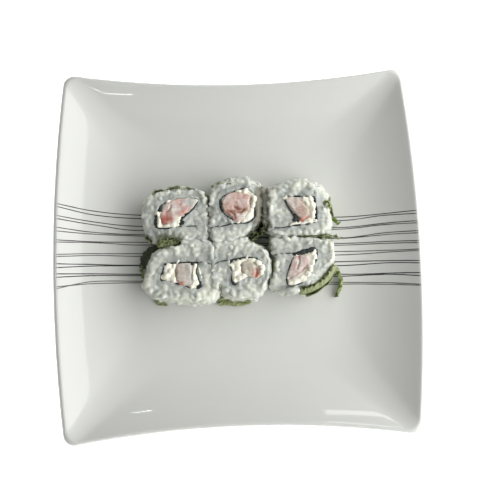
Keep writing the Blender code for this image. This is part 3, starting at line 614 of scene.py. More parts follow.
def roasted_seaweed(filling):
    """Nori, dried and roasted, softened by the rice: nearly black, with the grain of its pressed fibres."""
    made, tree, place = start_material("roasted_seaweed")
    # Pressed fibres are about 1 mm apart
    fibres = add_node(tree, "ShaderNodeTexNoise", {"Vector": place, "Scale": 1000.0, "Detail": 3.0})
    colour = add_node(
        tree, "ShaderNodeMix", {0: fibres.outputs[0], 6: opaque(filling.seaweed), 7: opaque(linear("#333c37"))},
        data_type="RGBA",
    )
    bump = add_node(tree, "ShaderNodeBump", {"Height": fibres.outputs[0], "Strength": 0.6, "Distance": 0.25 * MM})
    shader = add_node(
        tree, "ShaderNodeBsdfPrincipled",
        {"Base Color": colour.outputs[2], "Roughness": 0.5, "IOR": 1.45, "Normal": bump.outputs[0]},
    )
    return end_material(made, tree, shader)


def cream_cheese(filling):
    """Fresh cream cheese, smeared: warm white, soft and dull, with small torn peaks."""
    made, tree, place = start_material("cream_cheese")
    # Damp patches are about 4 mm across, torn crumbs about 0.8 mm
    damp = add_node(tree, "ShaderNodeTexNoise", {"Vector": place, "Scale": 260.0, "Detail": 2.0})
    crumbs = add_node(tree, "ShaderNodeTexNoise", {"Vector": place, "Scale": 1200.0, "Detail": 3.0})
    share = add_node(
        tree, "ShaderNodeMapRange", {"Value": damp.outputs[0], "From Min": 0.4, "From Max": 0.7}
    )
    colour = add_node(
        tree, "ShaderNodeMix", {0: share.outputs[0], 6: opaque(filling.cheese), 7: opaque(filling.cheese_shade)},
        data_type="RGBA",
    )
    bump = add_node(tree, "ShaderNodeBump", {"Height": crumbs.outputs[0], "Strength": 0.3, "Distance": 0.2 * MM})
    shader = add_node(
        tree, "ShaderNodeBsdfPrincipled",
        {"Base Color": colour.outputs[2], "Roughness": 0.45, "IOR": 1.4, "Subsurface Weight": 0.35,
         "Subsurface Radius": (1.0, 0.97, 0.9), "Subsurface Scale": 0.8 * MM, "Normal": bump.outputs[0]},
        subsurface_method="RANDOM_WALK",
    )
    return end_material(made, tree, shader)


def boiled_prawn(filling):
    """Prawn, boiled and sliced: moist white and pink flesh in fine fibres, with red skin at its edges."""
    made, tree, place = start_material("boiled_prawn")
    flesh = add_node(tree, "ShaderNodeAttribute", attribute_name="flesh")
    # Fibres are about 0.7 mm apart and five times as long
    along = add_node(tree, "ShaderNodeMapping", {"Vector": place, "Rotation": (0, 0, 0.6), "Scale": (0.2, 1, 1)})
    fibres = add_node(
        tree, "ShaderNodeTexNoise", {"Vector": along.outputs[0], "Scale": 1400.0, "Detail": 2.0}
    )
    depth = add_node(
        tree, "ShaderNodeMapRange", {"Value": fibres.outputs[0], "From Min": 0.35, "From Max": 0.65,
                                     "To Min": 1 - filling.prawn_dark, "To Max": 1.06},
    )
    colour = add_node(
        tree, "ShaderNodeMix", {0: 1.0, 6: flesh.outputs["Color"], 7: depth.outputs[0]}, data_type="RGBA",
        blend_type="MULTIPLY",
    )
    bump = add_node(tree, "ShaderNodeBump", {"Height": fibres.outputs[0], "Strength": 0.5, "Distance": 0.2 * MM})
    shader = add_node(
        tree, "ShaderNodeBsdfPrincipled",
        {"Base Color": colour.outputs[2], "Roughness": 0.32, "IOR": 1.4, "Subsurface Weight": 0.3,
         "Subsurface Radius": (1.0, 0.88, 0.85), "Subsurface Scale": 0.8 * MM, "Normal": bump.outputs[0]},
        subsurface_method="RANDOM_WALK",
    )
    return end_material(made, tree, shader)


def salad_leaf(leaf):
    """Curly salad leaf, raw and wet: thin and waxy, darker in its folds, yellow where it is young."""
    made, tree, place = start_material("salad_leaf")
    young = add_node(tree, "ShaderNodeAttribute", attribute_name="young")
    # Folds are about 3 mm apart, veins about 1 mm
    folds = add_node(tree, "ShaderNodeTexNoise", {"Vector": place, "Scale": 330.0, "Detail": 3.0})
    veins = add_node(tree, "ShaderNodeTexVoronoi", {"Vector": place, "Scale": 620.0}, feature="DISTANCE_TO_EDGE")
    share = add_node(tree, "ShaderNodeMapRange", {"Value": folds.outputs[0], "From Min": 0.35, "From Max": 0.65})
    green = add_node(
        tree, "ShaderNodeMix", {0: share.outputs[0], 6: opaque(leaf.dark), 7: opaque(leaf.light)}, data_type="RGBA"
    )
    vein = add_node(
        tree, "ShaderNodeMapRange", {"Value": veins.outputs[0], "From Max": 0.16, "To Min": 0.45, "To Max": 0}
    )
    pale = add_node(
        tree, "ShaderNodeMath", {0: young.outputs["Fac"], 1: vein.outputs[0]}, operation="ADD", use_clamp=True
    )
    colour = add_node(
        tree, "ShaderNodeMix", {0: pale.outputs[0], 6: green.outputs[2], 7: opaque(leaf.yellow)}, data_type="RGBA"
    )
    # Below 0 the leaf takes a dark grey colour that paints the shadow it lies in
    shaded = add_node(tree, "ShaderNodeMath", {0: young.outputs["Fac"], 1: -1.0}, operation="MULTIPLY", use_clamp=True)
    colour = add_node(
        tree, "ShaderNodeMix", {0: shaded.outputs[0], 6: colour.outputs[2], 7: opaque(leaf.shaded)}, data_type="RGBA"
    )
    bump = add_node(tree, "ShaderNodeBump", {"Height": veins.outputs[0], "Strength": 0.5, "Distance": 0.2 * MM})
    shader = add_node(
        tree, "ShaderNodeBsdfPrincipled",
        {"Base Color": colour.outputs[2], "Roughness": 0.42, "IOR": 1.45, "Subsurface Weight": 0.4,
         "Subsurface Radius": (0.7, 1.0, 0.4), "Subsurface Scale": 0.5 * MM, "Normal": bump.outputs[0]},
        subsurface_method="RANDOM_WALK",
    )
    return end_material(made, tree, shader)


def table_paper(stage):
    """Matt white paper on a table, which lies behind the object and has no pattern."""
    made, tree, _ = start_material("table_paper")
    shader = add_node(
        tree, "ShaderNodeBsdfPrincipled",
        {"Base Color": opaque(stage.paper), "Roughness": 0.9, "IOR": 1.3, "Emission Color": (1, 1, 1, 1),
         "Emission Strength": 1.5},
    )
    return end_material(made, tree, shader)


# Meshes


def make_object(name, bm, material):
    mesh = bpy.data.meshes.new(name)
    bm.to_mesh(mesh)
    bm.free()
    mesh.shade_smooth()
    obj = bpy.data.objects.new(name, mesh)
    mesh.materials.append(material)
    bpy.context.scene.collection.objects.link(obj)
    return obj


def add_piece(name, bm, material, slot, *nodes):
    """Turns a bmesh into a piece that stands for the named solids."""
    obj = make_object(name, bm, material)
    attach(obj, "root")
    if nodes:
        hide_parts(*nodes)
    return obj


def solid_copies(*nodes):
    """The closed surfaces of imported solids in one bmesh, with its points in order."""
    loose = bmesh.new()
    for node in nodes:
        loose.from_mesh(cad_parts[node].data)
    bmesh.ops.remove_doubles(loose, verts=loose.verts, dist=0.01 * MM)
    merged = bpy.data.meshes.new("merged")
    loose.to_mesh(merged)
    loose.free()
    bm = bmesh.new()
    bm.from_mesh(merged)
    bpy.data.meshes.remove(merged)
    return bm


def remeshed(bm, voxel):
    """The same closed shape with even faces, all that overlaps joined."""
    mesh = bpy.data.meshes.new("even")
    bm.to_mesh(mesh)
    bm.free()
    obj = bpy.data.objects.new("even", mesh)
    bpy.context.scene.collection.objects.link(obj)
    step = obj.modifiers.new("Even", "REMESH")
    step.mode = "VOXEL"
    step.voxel_size = voxel
    graph = bpy.context.evaluated_depsgraph_get()
    even = bpy.data.meshes.new_from_object(obj.evaluated_get(graph))
    bpy.data.objects.remove(obj)
    fresh = bmesh.new()
    fresh.from_mesh(even)
    bpy.data.meshes.remove(even)
    bpy.data.meshes.remove(mesh)
    return fresh


def smooth(bm, times):
    """Moves every point halfway to the middle of its neighbours, so many times."""
    for _ in range(times):
        bmesh.ops.smooth_vert(bm, verts=bm.verts, factor=0.5, use_axis_x=True, use_axis_y=True, use_axis_z=True)


def place_points(bm, places):
    for v, co in zip(bm.verts, places):
        v.co = co


def near_top(co, key, depth):
    """1 at the roll's cut face, falling to 0 this far below it."""
    return min(max(1 - (TOP[key] - co.z) / depth, 0), 1)


# Dish


def rim_shape(share):
    """A ring of points round the dish at this share of the way to the rim."""
    blend = min(max((share - FLOOR_SHARE) / (1 - FLOOR_SHARE), 0), 1)
    radius = FLOOR_CORNER + (RIM_CORNER - FLOOR_CORNER) * blend
    half = Vector((HALF_X * share, HALF_Y * share))
    radius = min(radius, half.x * 0.6)
    corners = ((1, 1, 0), (-1, 1, 90), (-1, -1, 180), (1, -1, 270))
    ring = []
    for i, (sx, sy, start) in enumerate(corners):
        middle = Vector((sx * (half.x - radius), sy * (half.y - radius)))
        for step in range(CORNER_STEPS + 1):
            turn = math.radians(start + 90 * step / CORNER_STEPS)
            ring.append(middle + radius * Vector((math.cos(turn), math.sin(turn))))
        nx, ny, _ = corners[(i + 1) % 4]
        turn = math.radians(start + 90)
        end = Vector((nx * (half.x - radius), ny * (half.y - radius)))
        end += radius * Vector((math.cos(turn), math.sin(turn)))
        begin = ring[-1]
        ring += [begin.lerp(end, step / SIDE_STEPS) for step in range(1, SIDE_STEPS)]
    curve = blend**0.5
    bent = []
    for p in ring:
        swell = SIDE_SWELL * curve * (1 - (p.y / half.y) ** 2)
        hollow = END_HOLLOW * curve * (1 - (p.x / half.x) ** 2)
        bent.append(Vector((p.x * (1 + swell / HALF_X), p.y * (1 - hollow / HALF_Y))))
    return bent


def dish_height(share):
    """Height of the upper surface at this share of the way to the rim."""
    blend = min(max((share - FLOOR_SHARE) / (1 - FLOOR_SHARE), 0), 1)
    return FLOOR_HEIGHT + (RIM_HEIGHT - FLOOR_HEIGHT) * blend**RISE_POWER


def dish_rings():
    """(share, height) of every ring, from the middle of the floor out, round the lip and back below."""
    rings = [(share, FLOOR_HEIGHT) for share in (0.1, 0.25, 0.4, 0.5, 0.56)]
    span = LIP_START - FLOOR_SHARE
    for k in range(WALL_RINGS + 1):
        share = FLOOR_SHARE + span * k / WALL_RINGS
        rings.append((share, dish_height(share / LIP_START) if k else FLOOR_HEIGHT))
    lip = ((0.976, 22.2), (0.98, 22.3), (0.984, 22.2), (0.989, 21.85), (0.994, 21.2), (0.998, 20.5),
           (1.0, 19.9), (0.999, 19.1), (0.996, 18.5))
    rings += [(share, height * MM) for share, height in lip]
    for share in (0.985, 0.97, 0.95, 0.92, 0.89, 0.845, 0.8, 0.75, 0.7, 0.66, 0.63, 0.615):
        rings.append((share, dish_height(share) - DISH_WALL))
    underside = FLOOR_HEIGHT - DISH_WALL
    foot = ((0.604, 0), (0.598, -1.4), (0.59, -2.3), (0.582, -2.5), (0.55, -2.5), (0.542, -2.3), (0.535, -1.4),
            (0.529, 0), (0.4, 0))
    return rings + [(share, underside + drop * MM) for share, drop in foot]


def loft(bm, rings):
    """Extrudes a circle's edge from ring to ring, and closes both ends."""
    count = len(rings[0])
    verts = bmesh.ops.create_circle(bm, segments=count, radius=1)["verts"]
    for ring in rings:
        edges = [bm.edges.get((verts[i], verts[(i + 1) % count])) for i in range(count)]
        if ring is rings[0]:
            bmesh.ops.edgeloop_fill(bm, edges=edges)
        else:
            number = {v: i for i, v in enumerate(verts)}
            made = bmesh.ops.extrude_edge_only(bm, edges=edges)["geom"]
            for fresh in [v for v in made if isinstance(v, bmesh.types.BMVert)]:
                below = [e.other_vert(fresh) for e in fresh.link_edges if e.other_vert(fresh) in number][0]
                verts[number[below]] = fresh
        for v, place in zip(verts, ring):
            v.co = place
    edges = [bm.edges.get((verts[i], verts[(i + 1) % count])) for i in range(count)]
    bmesh.ops.edgeloop_fill(bm, edges=edges)


class URAMAKI_OT_dish(bpy.types.Operator):
    """Make the square dish with its swelling sides, rolled lip and foot"""

    bl_idname = "uramaki.dish"
    bl_label = "Dish"

    def execute(self, context):
        bm = bmesh.new()
        loft(bm, [[Vector((p.x, p.y, height)) for p in rim_shape(share)] for share, height in dish_rings()])
        bmesh.ops.recalc_face_normals(bm, faces=bm.faces)
        add_piece("dish", bm, glazed_porcelain(context.scene.uramaki_dish), "porcelain", "plate")
        return {"FINISHED"}


def across(stations, x):
    """Place across the dish of a printed line, on a smooth curve through its stations, all in mm."""
    last = len(LINE_STATIONS) - 1
    k = max(i for i in range(last) if x >= LINE_STATIONS[i] or i == 0)
    slopes = []
    for i in (k, k + 1):
        low, high = max(i - 1, 0), min(i + 1, last)
        slopes.append((stations[high] - stations[low]) / (LINE_STATIONS[high] - LINE_STATIONS[low]))
    width = LINE_STATIONS[k + 1] - LINE_STATIONS[k]
    t = (x - LINE_STATIONS[k]) / width
    begin = (1 + 2 * t) * (1 - t) ** 2 * stations[k] + t * (1 - t) ** 2 * width * slopes[0]
    return begin + t * t * (3 - 2 * t) * stations[k + 1] + t * t * (t - 1) * width * slopes[1]


def line_reach(y):
    """How far from the middle a printed line reaches the lip, in mm."""
    share = 0.988
    curve = ((share - FLOOR_SHARE) / (1 - FLOOR_SHARE)) ** 0.5
    swell = SIDE_SWELL * curve * (1 - (y * MM / (HALF_Y * share)) ** 2)
    return HALF_X * share * (1 + swell / HALF_X) / MM


class URAMAKI_OT_printed_lines(bpy.types.Operator):
    """Lay the sixteen printed lines from rim to rim over the dish"""

    bl_idname = "uramaki.printed_lines"
    bl_label = "Printed lines"

    def execute(self, context):
        dish = context.scene.uramaki_dish
        surface = BVHTree.FromObject(bpy.data.objects["dish"], context.evaluated_depsgraph_get())
        bm = bmesh.new()
        tone = bm.verts.layers.float.new("tone")
        for n, (stations, dark) in enumerate(PRINTED_LINES):
            strip = bmesh.ops.create_grid(bm, x_segments=150, y_segments=1, size=1)["verts"]
            for v in strip:
                reach = line_reach(stations[0] if v.co.x < 0 else stations[-1])
                x = v.co.x * reach
                wander = 0.25 * noise.noise(Vector((x / 22, n * 7.3, 0)))
                width = dish.line_width * (1 + 0.25 * noise.noise(Vector((x / 9, n * 3.1, 4))))
                y = (across(stations, x) + wander) * MM + v.co.y * width / 2
                hit = surface.ray_cast(Vector((x * MM, y, 0.1)), Vector((0, 0, -1)))
                v.co = hit[0] + hit[1] * 0.05 * MM
                v[tone] = dark
        bmesh.ops.recalc_face_normals(bm, faces=bm.faces)
        bmesh.ops.solidify(bm, geom=list(bm.faces), thickness=0.12 * MM)
        bmesh.ops.recalc_face_normals(bm, faces=bm.faces)
        add_piece("printed_lines", bm, glaze_ink(dish), "porcelain")
        return {"FINISHED"}


# Rice


def grain_shapes(rice, draw):
    """A few grain meshes, blunt and a little bent, each of 80 faces."""
    shapes = []
    for _ in range(8):
        bm = bmesh.new()
        ball = bmesh.ops.create_icosphere(bm, subdivisions=2, radius=1)["verts"]
        half = Vector((rice.grain_length * draw.uniform(0.42, 0.56), rice.grain_width * draw.uniform(0.46, 0.56),
                       rice.grain_width * draw.uniform(0.4, 0.48)))
        bend = draw.uniform(0.02, 0.2)
        for v in ball:
            blunt = math.copysign(abs(v.co.x) ** 0.8, v.co.x)
            v.co = Vector((blunt * half.x, (v.co.y + bend * blunt**2) * half.y, v.co.z * half.z))
        shape = bpy.data.meshes.new("grain")
        bm.to_mesh(shape)
        bm.free()
        shapes.append(shape)
    return shapes


def add_grain(bm, shape, place, along, out):
    """Adds one grain with its length along one direction and its flat side facing another."""
    count = len(bm.verts)
    bm.from_mesh(shape)
    bm.verts.ensure_lookup_table()
    side = out.cross(along).normalized()
    up = along.cross(side).normalized()
    turn = Matrix((along, side, up)).transposed()
    for v in bm.verts[count:]:
        v.co = turn @ v.co + place


# How the grains lie: a surface faces from -1, down, to 1, up
DOWNWARD = -0.4  # no grains where it faces further down than this
SIDEWAYS = 0.6  # the roll's side is where it faces less far up than this
SIDE_GAP = 0.9 * MM  # from a grain's place to the fillings, on the side
TOP_GAP = 1.15 * MM  # and on the cut
BESIDE_FILLING = 2.6 * MM  # nearer than this, grains lie along the fillings
SIDE_SINK = (0.2, 1.0)  # how deep a grain lies in the surface of the side, in mm
TOP_SINK = (0.85, 1.45)  # and in the cut
PROUD_SHARE = 0.1  # of the side's grains stand proud
PROUD_SINK = -0.6 * MM
BRIDGE_STEP = 1.7 * MM  # from grain to grain along a closed seam


def order_of(co):
    """A place in tenths of a micrometre, to sort by."""
    return tuple(round(x * 1e7) for x in co)


def rice_places(surface, filling, rice, draw):
    """Places over the outside of a roll at least a grain's width apart, each with the way out."""
    mesh = bpy.data.meshes.new("surface")
    surface.to_mesh(mesh)
    mesh.calc_loop_triangles()
    triangles = []
    for t in mesh.loop_triangles:
        corners = [mesh.vertices[i].co.copy() for i in t.vertices]
        first = min(range(3), key=lambda i: order_of(corners[i]))
        triangles.append((corners[first:] + corners[:first], t.normal.copy(), t.area))
    bpy.data.meshes.remove(mesh)
    # Sorted by place, so that the draws below don't depend on the mesh's own order
    triangles.sort(key=lambda t: order_of(sum(t[0], Vector())))
    taken = {}
    found = []
    for (a, b, c), out, _ in draw.choices(triangles, [area for _, _, area in triangles], k=rice.tries):
        u, v = sorted((draw.random(), draw.random()))
        place = a * u + b * (v - u) + c * (1 - v)
        if out.z < DOWNWARD:
            continue
        near, _, _, distance = filling.find_nearest(place)
        if distance < (SIDE_GAP if out.z < SIDEWAYS else TOP_GAP):
            continue
        cell = tuple(math.floor(x / rice.spacing) for x in place)
        around = product(*((x - 1, x, x + 1) for x in cell))
        if any((place - other).length < rice.spacing for key in around for other in taken.get(key, ())):
            continue
        taken.setdefault(cell, []).append(place)
        found.append((place, out, near, distance))
    return found


def sag(key, co):
    """How far the rice has slumped below the cut here, in metres."""
    drop = 0
    for x, y, way, width, depth in SAGS.get(key, ()):
        turn = math.radians(way)
        out = (co.x / MM - x) * math.cos(turn) + (co.y / MM - y) * math.sin(turn)
        share = min(max(out / width, 0), 1)
        drop += depth * share * share * (3 - 2 * share)
    return drop * MM


def roll_rice(key, rice, shapes, draw):
    """A core a little inside the solid, and grains laid over all of its outside."""
    bm = solid_copies(f"rice_{key}")
    filling = solid_copies(f"nori_{key}", f"cheese_{key}")
    fillings = BVHTree.FromBMesh(filling)
    filling.free()
    places = rice_places(bm, fillings, rice, draw)
    bm.normal_update()
    moved = []
    for v in bm.verts:
        beside = fillings.find_nearest(v.co)[3] < 0.8 * MM
        over = 0.9 * share_of(COVERED[key], v.co) * near_top(v.co, key, 4 * MM)
        ragged = 0.58 + 0.42 * noise.noise(v.co * 260)
        moved.append(v.co + v.normal * (ragged + over if beside else -0.35 if v.normal.z > 0.8 else -0.6) * MM)
    place_points(bm, moved)
    ceiling = TOP[key] + 0.05 * MM
    middles = []
    for place, out, near, distance in places:
        along = Vector([draw.gauss(0, 1) for _ in range(3)])
        along -= out * along.dot(out) * draw.uniform(0.8, 1)
        if out.z < SIDEWAYS:
            along.z *= 0.4
        if distance < BESIDE_FILLING:
            away = place - near
            away.z = 0
            along = Vector((-away.y, away.x, along.z * 0.2 * away.length)) + away * draw.uniform(-0.25, 0.25)
        along.normalize()
        sink = draw.uniform(*(SIDE_SINK if out.z < SIDEWAYS else TOP_SINK)) * MM
        if out.z < SIDEWAYS and draw.random() < PROUD_SHARE:
            sink = PROUD_SINK
        middle = place - out * sink
        middle.z = max(middle.z, FLOOR_HEIGHT + 1.3 * MM)
        add_grain(bm, draw.choice(shapes), middle, along, out)
        middles.append(middle)
    for v in bm.verts:
        if v.co.z > ceiling:
            v.co.z = ceiling + (v.co.z - ceiling) * 0.3
        v.co.z -= sag(key, v.co) * (v.co.z - FLOOR_HEIGHT) / (TOP[key] - FLOOR_HEIGHT)
    for depth, line in BRIDGES.get(key, ()):
        count = round(on_path(line, 0)[2] / BRIDGE_STEP)
        for i in range(count + 1):
            flat = on_path(line, i / count)[0]
            middle = Vector((flat.x, flat.y, TOP[key] - (depth + draw.uniform(0, 0.7)) * MM))
            along = Vector((draw.gauss(0, 1), draw.gauss(0, 1), draw.gauss(0, 0.3))).normalized()
            add_grain(bm, draw.choice(shapes), middle, along, Vector((0, 0, 1)))
            middles.append(middle)
    if key == "6":
        place, size = (Vector(row) * MM for row in LOOSE_LUMP)
        add_ball(bm, place, size, 4)
        middles.append(place)
    bm = remeshed(bm, rice.voxel)
    smooth(bm, 2)
    tree = KDTree(len(middles))
    for i, middle in enumerate(middles):
        tree.insert(middle, i)
    tree.balance()
    shades = [draw.random() for _ in middles]
    tone = bm.verts.layers.float.new("tone")
    for v in bm.verts:
        away = (fillings.find_nearest(v.co)[3] / MM - 1) / 9 + 0.7 * noise.noise(v.co * 160)
        (_, own, first), (_, _, second), (_, _, third) = tree.find_n(v.co, 3)
        # Painted shade: the rice is darker where two or three grains meet, in the creases between them
        between = max(1 - (second - first) / (0.8 * MM), 0) + max(1 - (third - first) / (1.1 * MM), 0)
        v[tone] = 0.3 * shades[own] + 0.7 * min(max(away, 0), 1) - 0.18 * between
        # Painted light makes roll 4's side paler, and painted shadow makes roll 2's slumped flank dark
        v[tone] += 0.9 * share_of(LIT_RICE.get(key, ()), v.co) - 1.7 * share_of(SHADOWED_RICE.get(key, ()), v.co)
        v.co.z = max(v.co.z, FLOOR_HEIGHT + 0.05 * MM)
    return bm


class URAMAKI_OT_rice(bpy.types.Operator):
    """Cover each roll with cooked rice grains of true size"""

    bl_idname = "uramaki.rice"
    bl_label = "Rice"

    def execute(self, context):
        rice = context.scene.uramaki_rice
        material = cooked_rice(rice)
        for key in ROLLS:
            draw = random.Random(RICE_SEED + int(key))
            shapes = grain_shapes(rice, draw)
            bm = roll_rice(key, rice, shapes, draw)
            for shape in shapes:
                bpy.data.meshes.remove(shape)
            add_piece(f"rice_grains_{key}", bm, material, "rice", f"rice_{key}")
        return {"FINISHED"}


# Seaweed and fillings


def share_of(spots, co):
    """1 in the middle of the nearest spot, 0 outside every spot."""
    deepest = 0
    ragged = co / MM + noise.noise_vector(co * 600) * 0.7
    for x, y, reach in spots:
        away = math.hypot(ragged.x - x, ragged.y - y)
        deepest = max(deepest, min(max((reach * 1.25 - away) / (reach * 0.5), 0), 1))
    return deepest


def add_ball(bm, place, size, turn=0.0, subdivisions=2):
    """Adds a ball of this length, width and height, turned in plan."""
    shape = Matrix.Translation(place) @ Matrix.Rotation(math.radians(turn), 4, "Z") @ Matrix.Diagonal((*size, 1))
    return bmesh.ops.create_icosphere(bm, subdivisions=subdivisions, radius=0.5, matrix=shape)["verts"]


class URAMAKI_OT_seaweed(bpy.types.Operator):
    """Make the ragged edge of the seaweed in each roll, and the dark balls that paint the shade in its gaps"""

    bl_idname = "uramaki.seaweed"
    bl_label = "Seaweed"

    def execute(self, context):
        material = roasted_seaweed(context.scene.uramaki_filling)
        for key in ROLLS:
            bm = solid_copies(f"nori_{key}")
            bmesh.ops.subdivide_edges(bm, edges=bm.edges, cuts=4, use_grid_fill=True)
            bm.normal_update()
            inwards = [Vector((v.normal.x, v.normal.y, 0)) * -0.22 * MM for v in bm.verts]
            for v, thinner in zip(bm.verts, inwards):
                edge = near_top(v.co, key, 4 * MM)
                sway = noise.noise_vector(v.co * 300 + Vector((int(key), 0, 0)))
                lift = noise.noise(v.co * 700)
                covered = share_of(COVERED[key], v.co) * edge
                v.co += thinner + Vector((sway.x, sway.y, 0)) * 0.45 * MM * edge
                v.co.z -= 4 * covered * MM
                v.co.z += (0.5 * lift + 0.1) * MM * edge
            # A dark seaweed ball at the bottom of each gap paints its shade black
            folds = bmesh.new()
            for x, y, reach in GAPS[key]:
                place = Vector((x * MM, y * MM, TOP[key] - 2 * MM))
                add_ball(folds, place, (reach * 2.7 * MM, reach * 2.7 * MM, 3.2 * MM))
            folds = remeshed(folds, 0.4 * MM)
            smooth(folds, 3)
            for v in folds.verts:
                v.co += noise.noise_vector(v.co * 500) * 0.35 * MM
            ends = bpy.data.meshes.new("folds")
            folds.to_mesh(ends)
            folds.free()
            bm.from_mesh(ends)
            bpy.data.meshes.remove(ends)
            bmesh.ops.recalc_face_normals(bm, faces=bm.faces)
            add_piece(f"seaweed_{key}", bm, material, "seaweed", f"nori_{key}")
        return {"FINISHED"}


class URAMAKI_OT_cheese(bpy.types.Operator):
    """Make the smeared and torn cream cheese round each prawn"""

    bl_idname = "uramaki.cheese"
    bl_label = "Cream cheese"

    def execute(self, context):
        material = cream_cheese(context.scene.uramaki_filling)
        for key in ROLLS:
            bm = solid_copies(f"cheese_{key}")
            for x, y, long, wide, turn in CHEESE_DABS[key]:
                place = Vector((x * MM, y * MM, TOP[key] - MM))
                add_ball(bm, place, (long * 1.15 * MM, wide * 1.15 * MM, min(wide * 1.3, 2.2) * MM), turn)
            bm = remeshed(bm, 0.5 * MM)
            smooth(bm, 2)
            bm.normal_update()
            moved = []
            for v in bm.verts:
                edge = near_top(v.co, key, 3 * MM)
                lumps = noise.fractal(v.co * 300, 0.9, 2.2, 3)
                curds = 0.5 - abs(noise.noise(v.co * 620)) * 2
                over = 0.8 * share_of(COVERED[key], v.co) * edge
                co = v.co + v.normal * (0.45 + over + (0.22 * lumps + 0.08 * curds) * edge) * MM
                if edge:
                    co.z -= 1.5 * MM * min(max(depth_inside(PRAWN_EDGES[key], co) / 0.8, 0), 1)
                co += noise.noise_vector(v.co * 380) * 0.35 * MM * edge
                co.z -= 4.5 * MM * share_of(GAPS[key], co) * edge
                moved.append(co)
            place_points(bm, moved)
            add_piece(f"cream_cheese_{key}", bm, material, "cream_cheese", f"cheese_{key}")
        return {"FINISHED"}


def depth_inside(outline, co):
    """How far inside an outline given in mm this point lies, in mm, below 0 outside it."""
    x, y = co.x / MM, co.y / MM
    inside = False
    nearest = 99.0
    for (ax, ay), (bx, by) in zip(outline, outline[1:] + outline[:1]):
        dx, dy = bx - ax, by - ay
        if (ay > y) != (by > y) and x < ax + dx * (y - ay) / dy:
            inside = not inside
        t = min(max(((x - ax) * dx + (y - ay) * dy) / (dx * dx + dy * dy), 0), 1)
        nearest = min(nearest, math.hypot(x - ax - dx * t, y - ay - dy * t))
    return nearest if inside else -nearest


def add_slab(bm, outline, low, high):
    """Adds a flat slab with this outline in mm."""
    face = bm.faces.new([bm.verts.new((x * MM, y * MM, low)) for x, y in outline])
    raised = bmesh.ops.extrude_face_region(bm, geom=[face])["geom"]
    up = [v for v in raised if isinstance(v, bmesh.types.BMVert)]
    bmesh.ops.translate(bm, verts=up, vec=(0, 0, high - low))
    bmesh.ops.recalc_face_normals(bm, faces=bm.faces)


def fold_depth(key, co):
    """How deep the nearest fold of the prawn is here, from 0 to 1."""
    point = Vector((co.x / MM, co.y / MM))
    nearest = 9.0
    for line in FOLDS[key]:
        for a, b in zip(line, line[1:]):
            a, b = Vector(a), Vector(b)
            t = min(max((point - a).dot(b - a) / (b - a).length_squared, 0), 1)
            nearest = min(nearest, (point - a.lerp(b, t)).length)
    return math.exp(-((nearest / 0.6) ** 2))


def flesh_colour(key, co):
    """The prawn's linear colour here: its base, the spots near here and paler streaks."""
    base, spots = FLESH[key]
    colour = Vector(linear(base))
    ragged = co / MM + noise.noise_vector(co * 500) * 0.9
    for x, y, reach, name, strength in spots:
        away = math.hypot(ragged.x - x, ragged.y - y) / reach
        colour = colour.lerp(Vector(linear(FLESH_COLOURS[name])), strength * math.exp(-(away**3)))
    streak = max(noise.noise(Vector((co.x * 160, co.y * 420, co.z * 200))), 0) * 0.5
    return colour.lerp(Vector(linear(FLESH_COLOURS["white"])), streak)


class URAMAKI_OT_prawn(bpy.types.Operator):
    """Make the sliced prawn in each roll, with its folds and its pink and red skin"""

    bl_idname = "uramaki.prawn"
    bl_label = "Prawn"

    def execute(self, context):
        material = boiled_prawn(context.scene.uramaki_filling)
        for key in ROLLS:
            bm = solid_copies(f"prawn_{key}")
            add_slab(bm, PRAWN_EDGES[key], TOP[key] - 4 * MM, TOP[key] - 0.2 * MM)
            bm = remeshed(bm, 0.48 * MM)
            smooth(bm, 2)
            bm.normal_update()
            flesh = bm.verts.layers.float_color.new("flesh")
            crease = Vector(linear(FLESH_COLOURS["crease"]))
            moved = []
            for v in bm.verts:
                edge = near_top(v.co, key, 3 * MM)
                fold = fold_depth(key, v.co) * edge
                lumps = noise.fractal(v.co * 260 + Vector((int(key) * 3, 0, 0)), 0.9, 2.1, 3)
                co = v.co + v.normal * (0.42 + 0.5 * lumps * edge) * MM
                co.z -= (1.1 * fold + 4.0 * share_of(GAPS[key], co) * edge) * MM
                moved.append(co)
                colour = flesh_colour(key, v.co).lerp(crease, CREASE_SHARE[key] * fold)
                v[flesh] = (*colour, 1)
            place_points(bm, moved)
            add_piece(f"sliced_prawn_{key}", bm, material, "prawn", f"prawn_{key}")
        return {"FINISHED"}


# Leaf


def on_path(path, share):
    """The point at this share of a path's length, and the direction there."""
    points = [Vector(p) * MM for p in path]
    lengths = [(b - a).length for a, b in zip(points, points[1:])]
    left = share * sum(lengths)
    last = len(lengths) - 1
    for i, length in enumerate(lengths):
        if left <= length or i == last:
            break
        left -= length
    t = min(left / lengths[i], 1)
    a, b, c, d = (points[min(max(i + k, 0), last + 1)] for k in (-1, 0, 1, 2))
    place = 0.5 * (2 * b + (c - a) * t + (2 * a - 5 * b + 4 * c - d) * t**2 + (3 * b - a - 3 * c + d) * t**3)
    slope = 0.5 * ((c - a) + 2 * (2 * a - 5 * b + 4 * c - d) * t + 3 * (3 * b - a - 3 * c + d) * t**2)
    return place, slope.normalized(), sum(lengths)


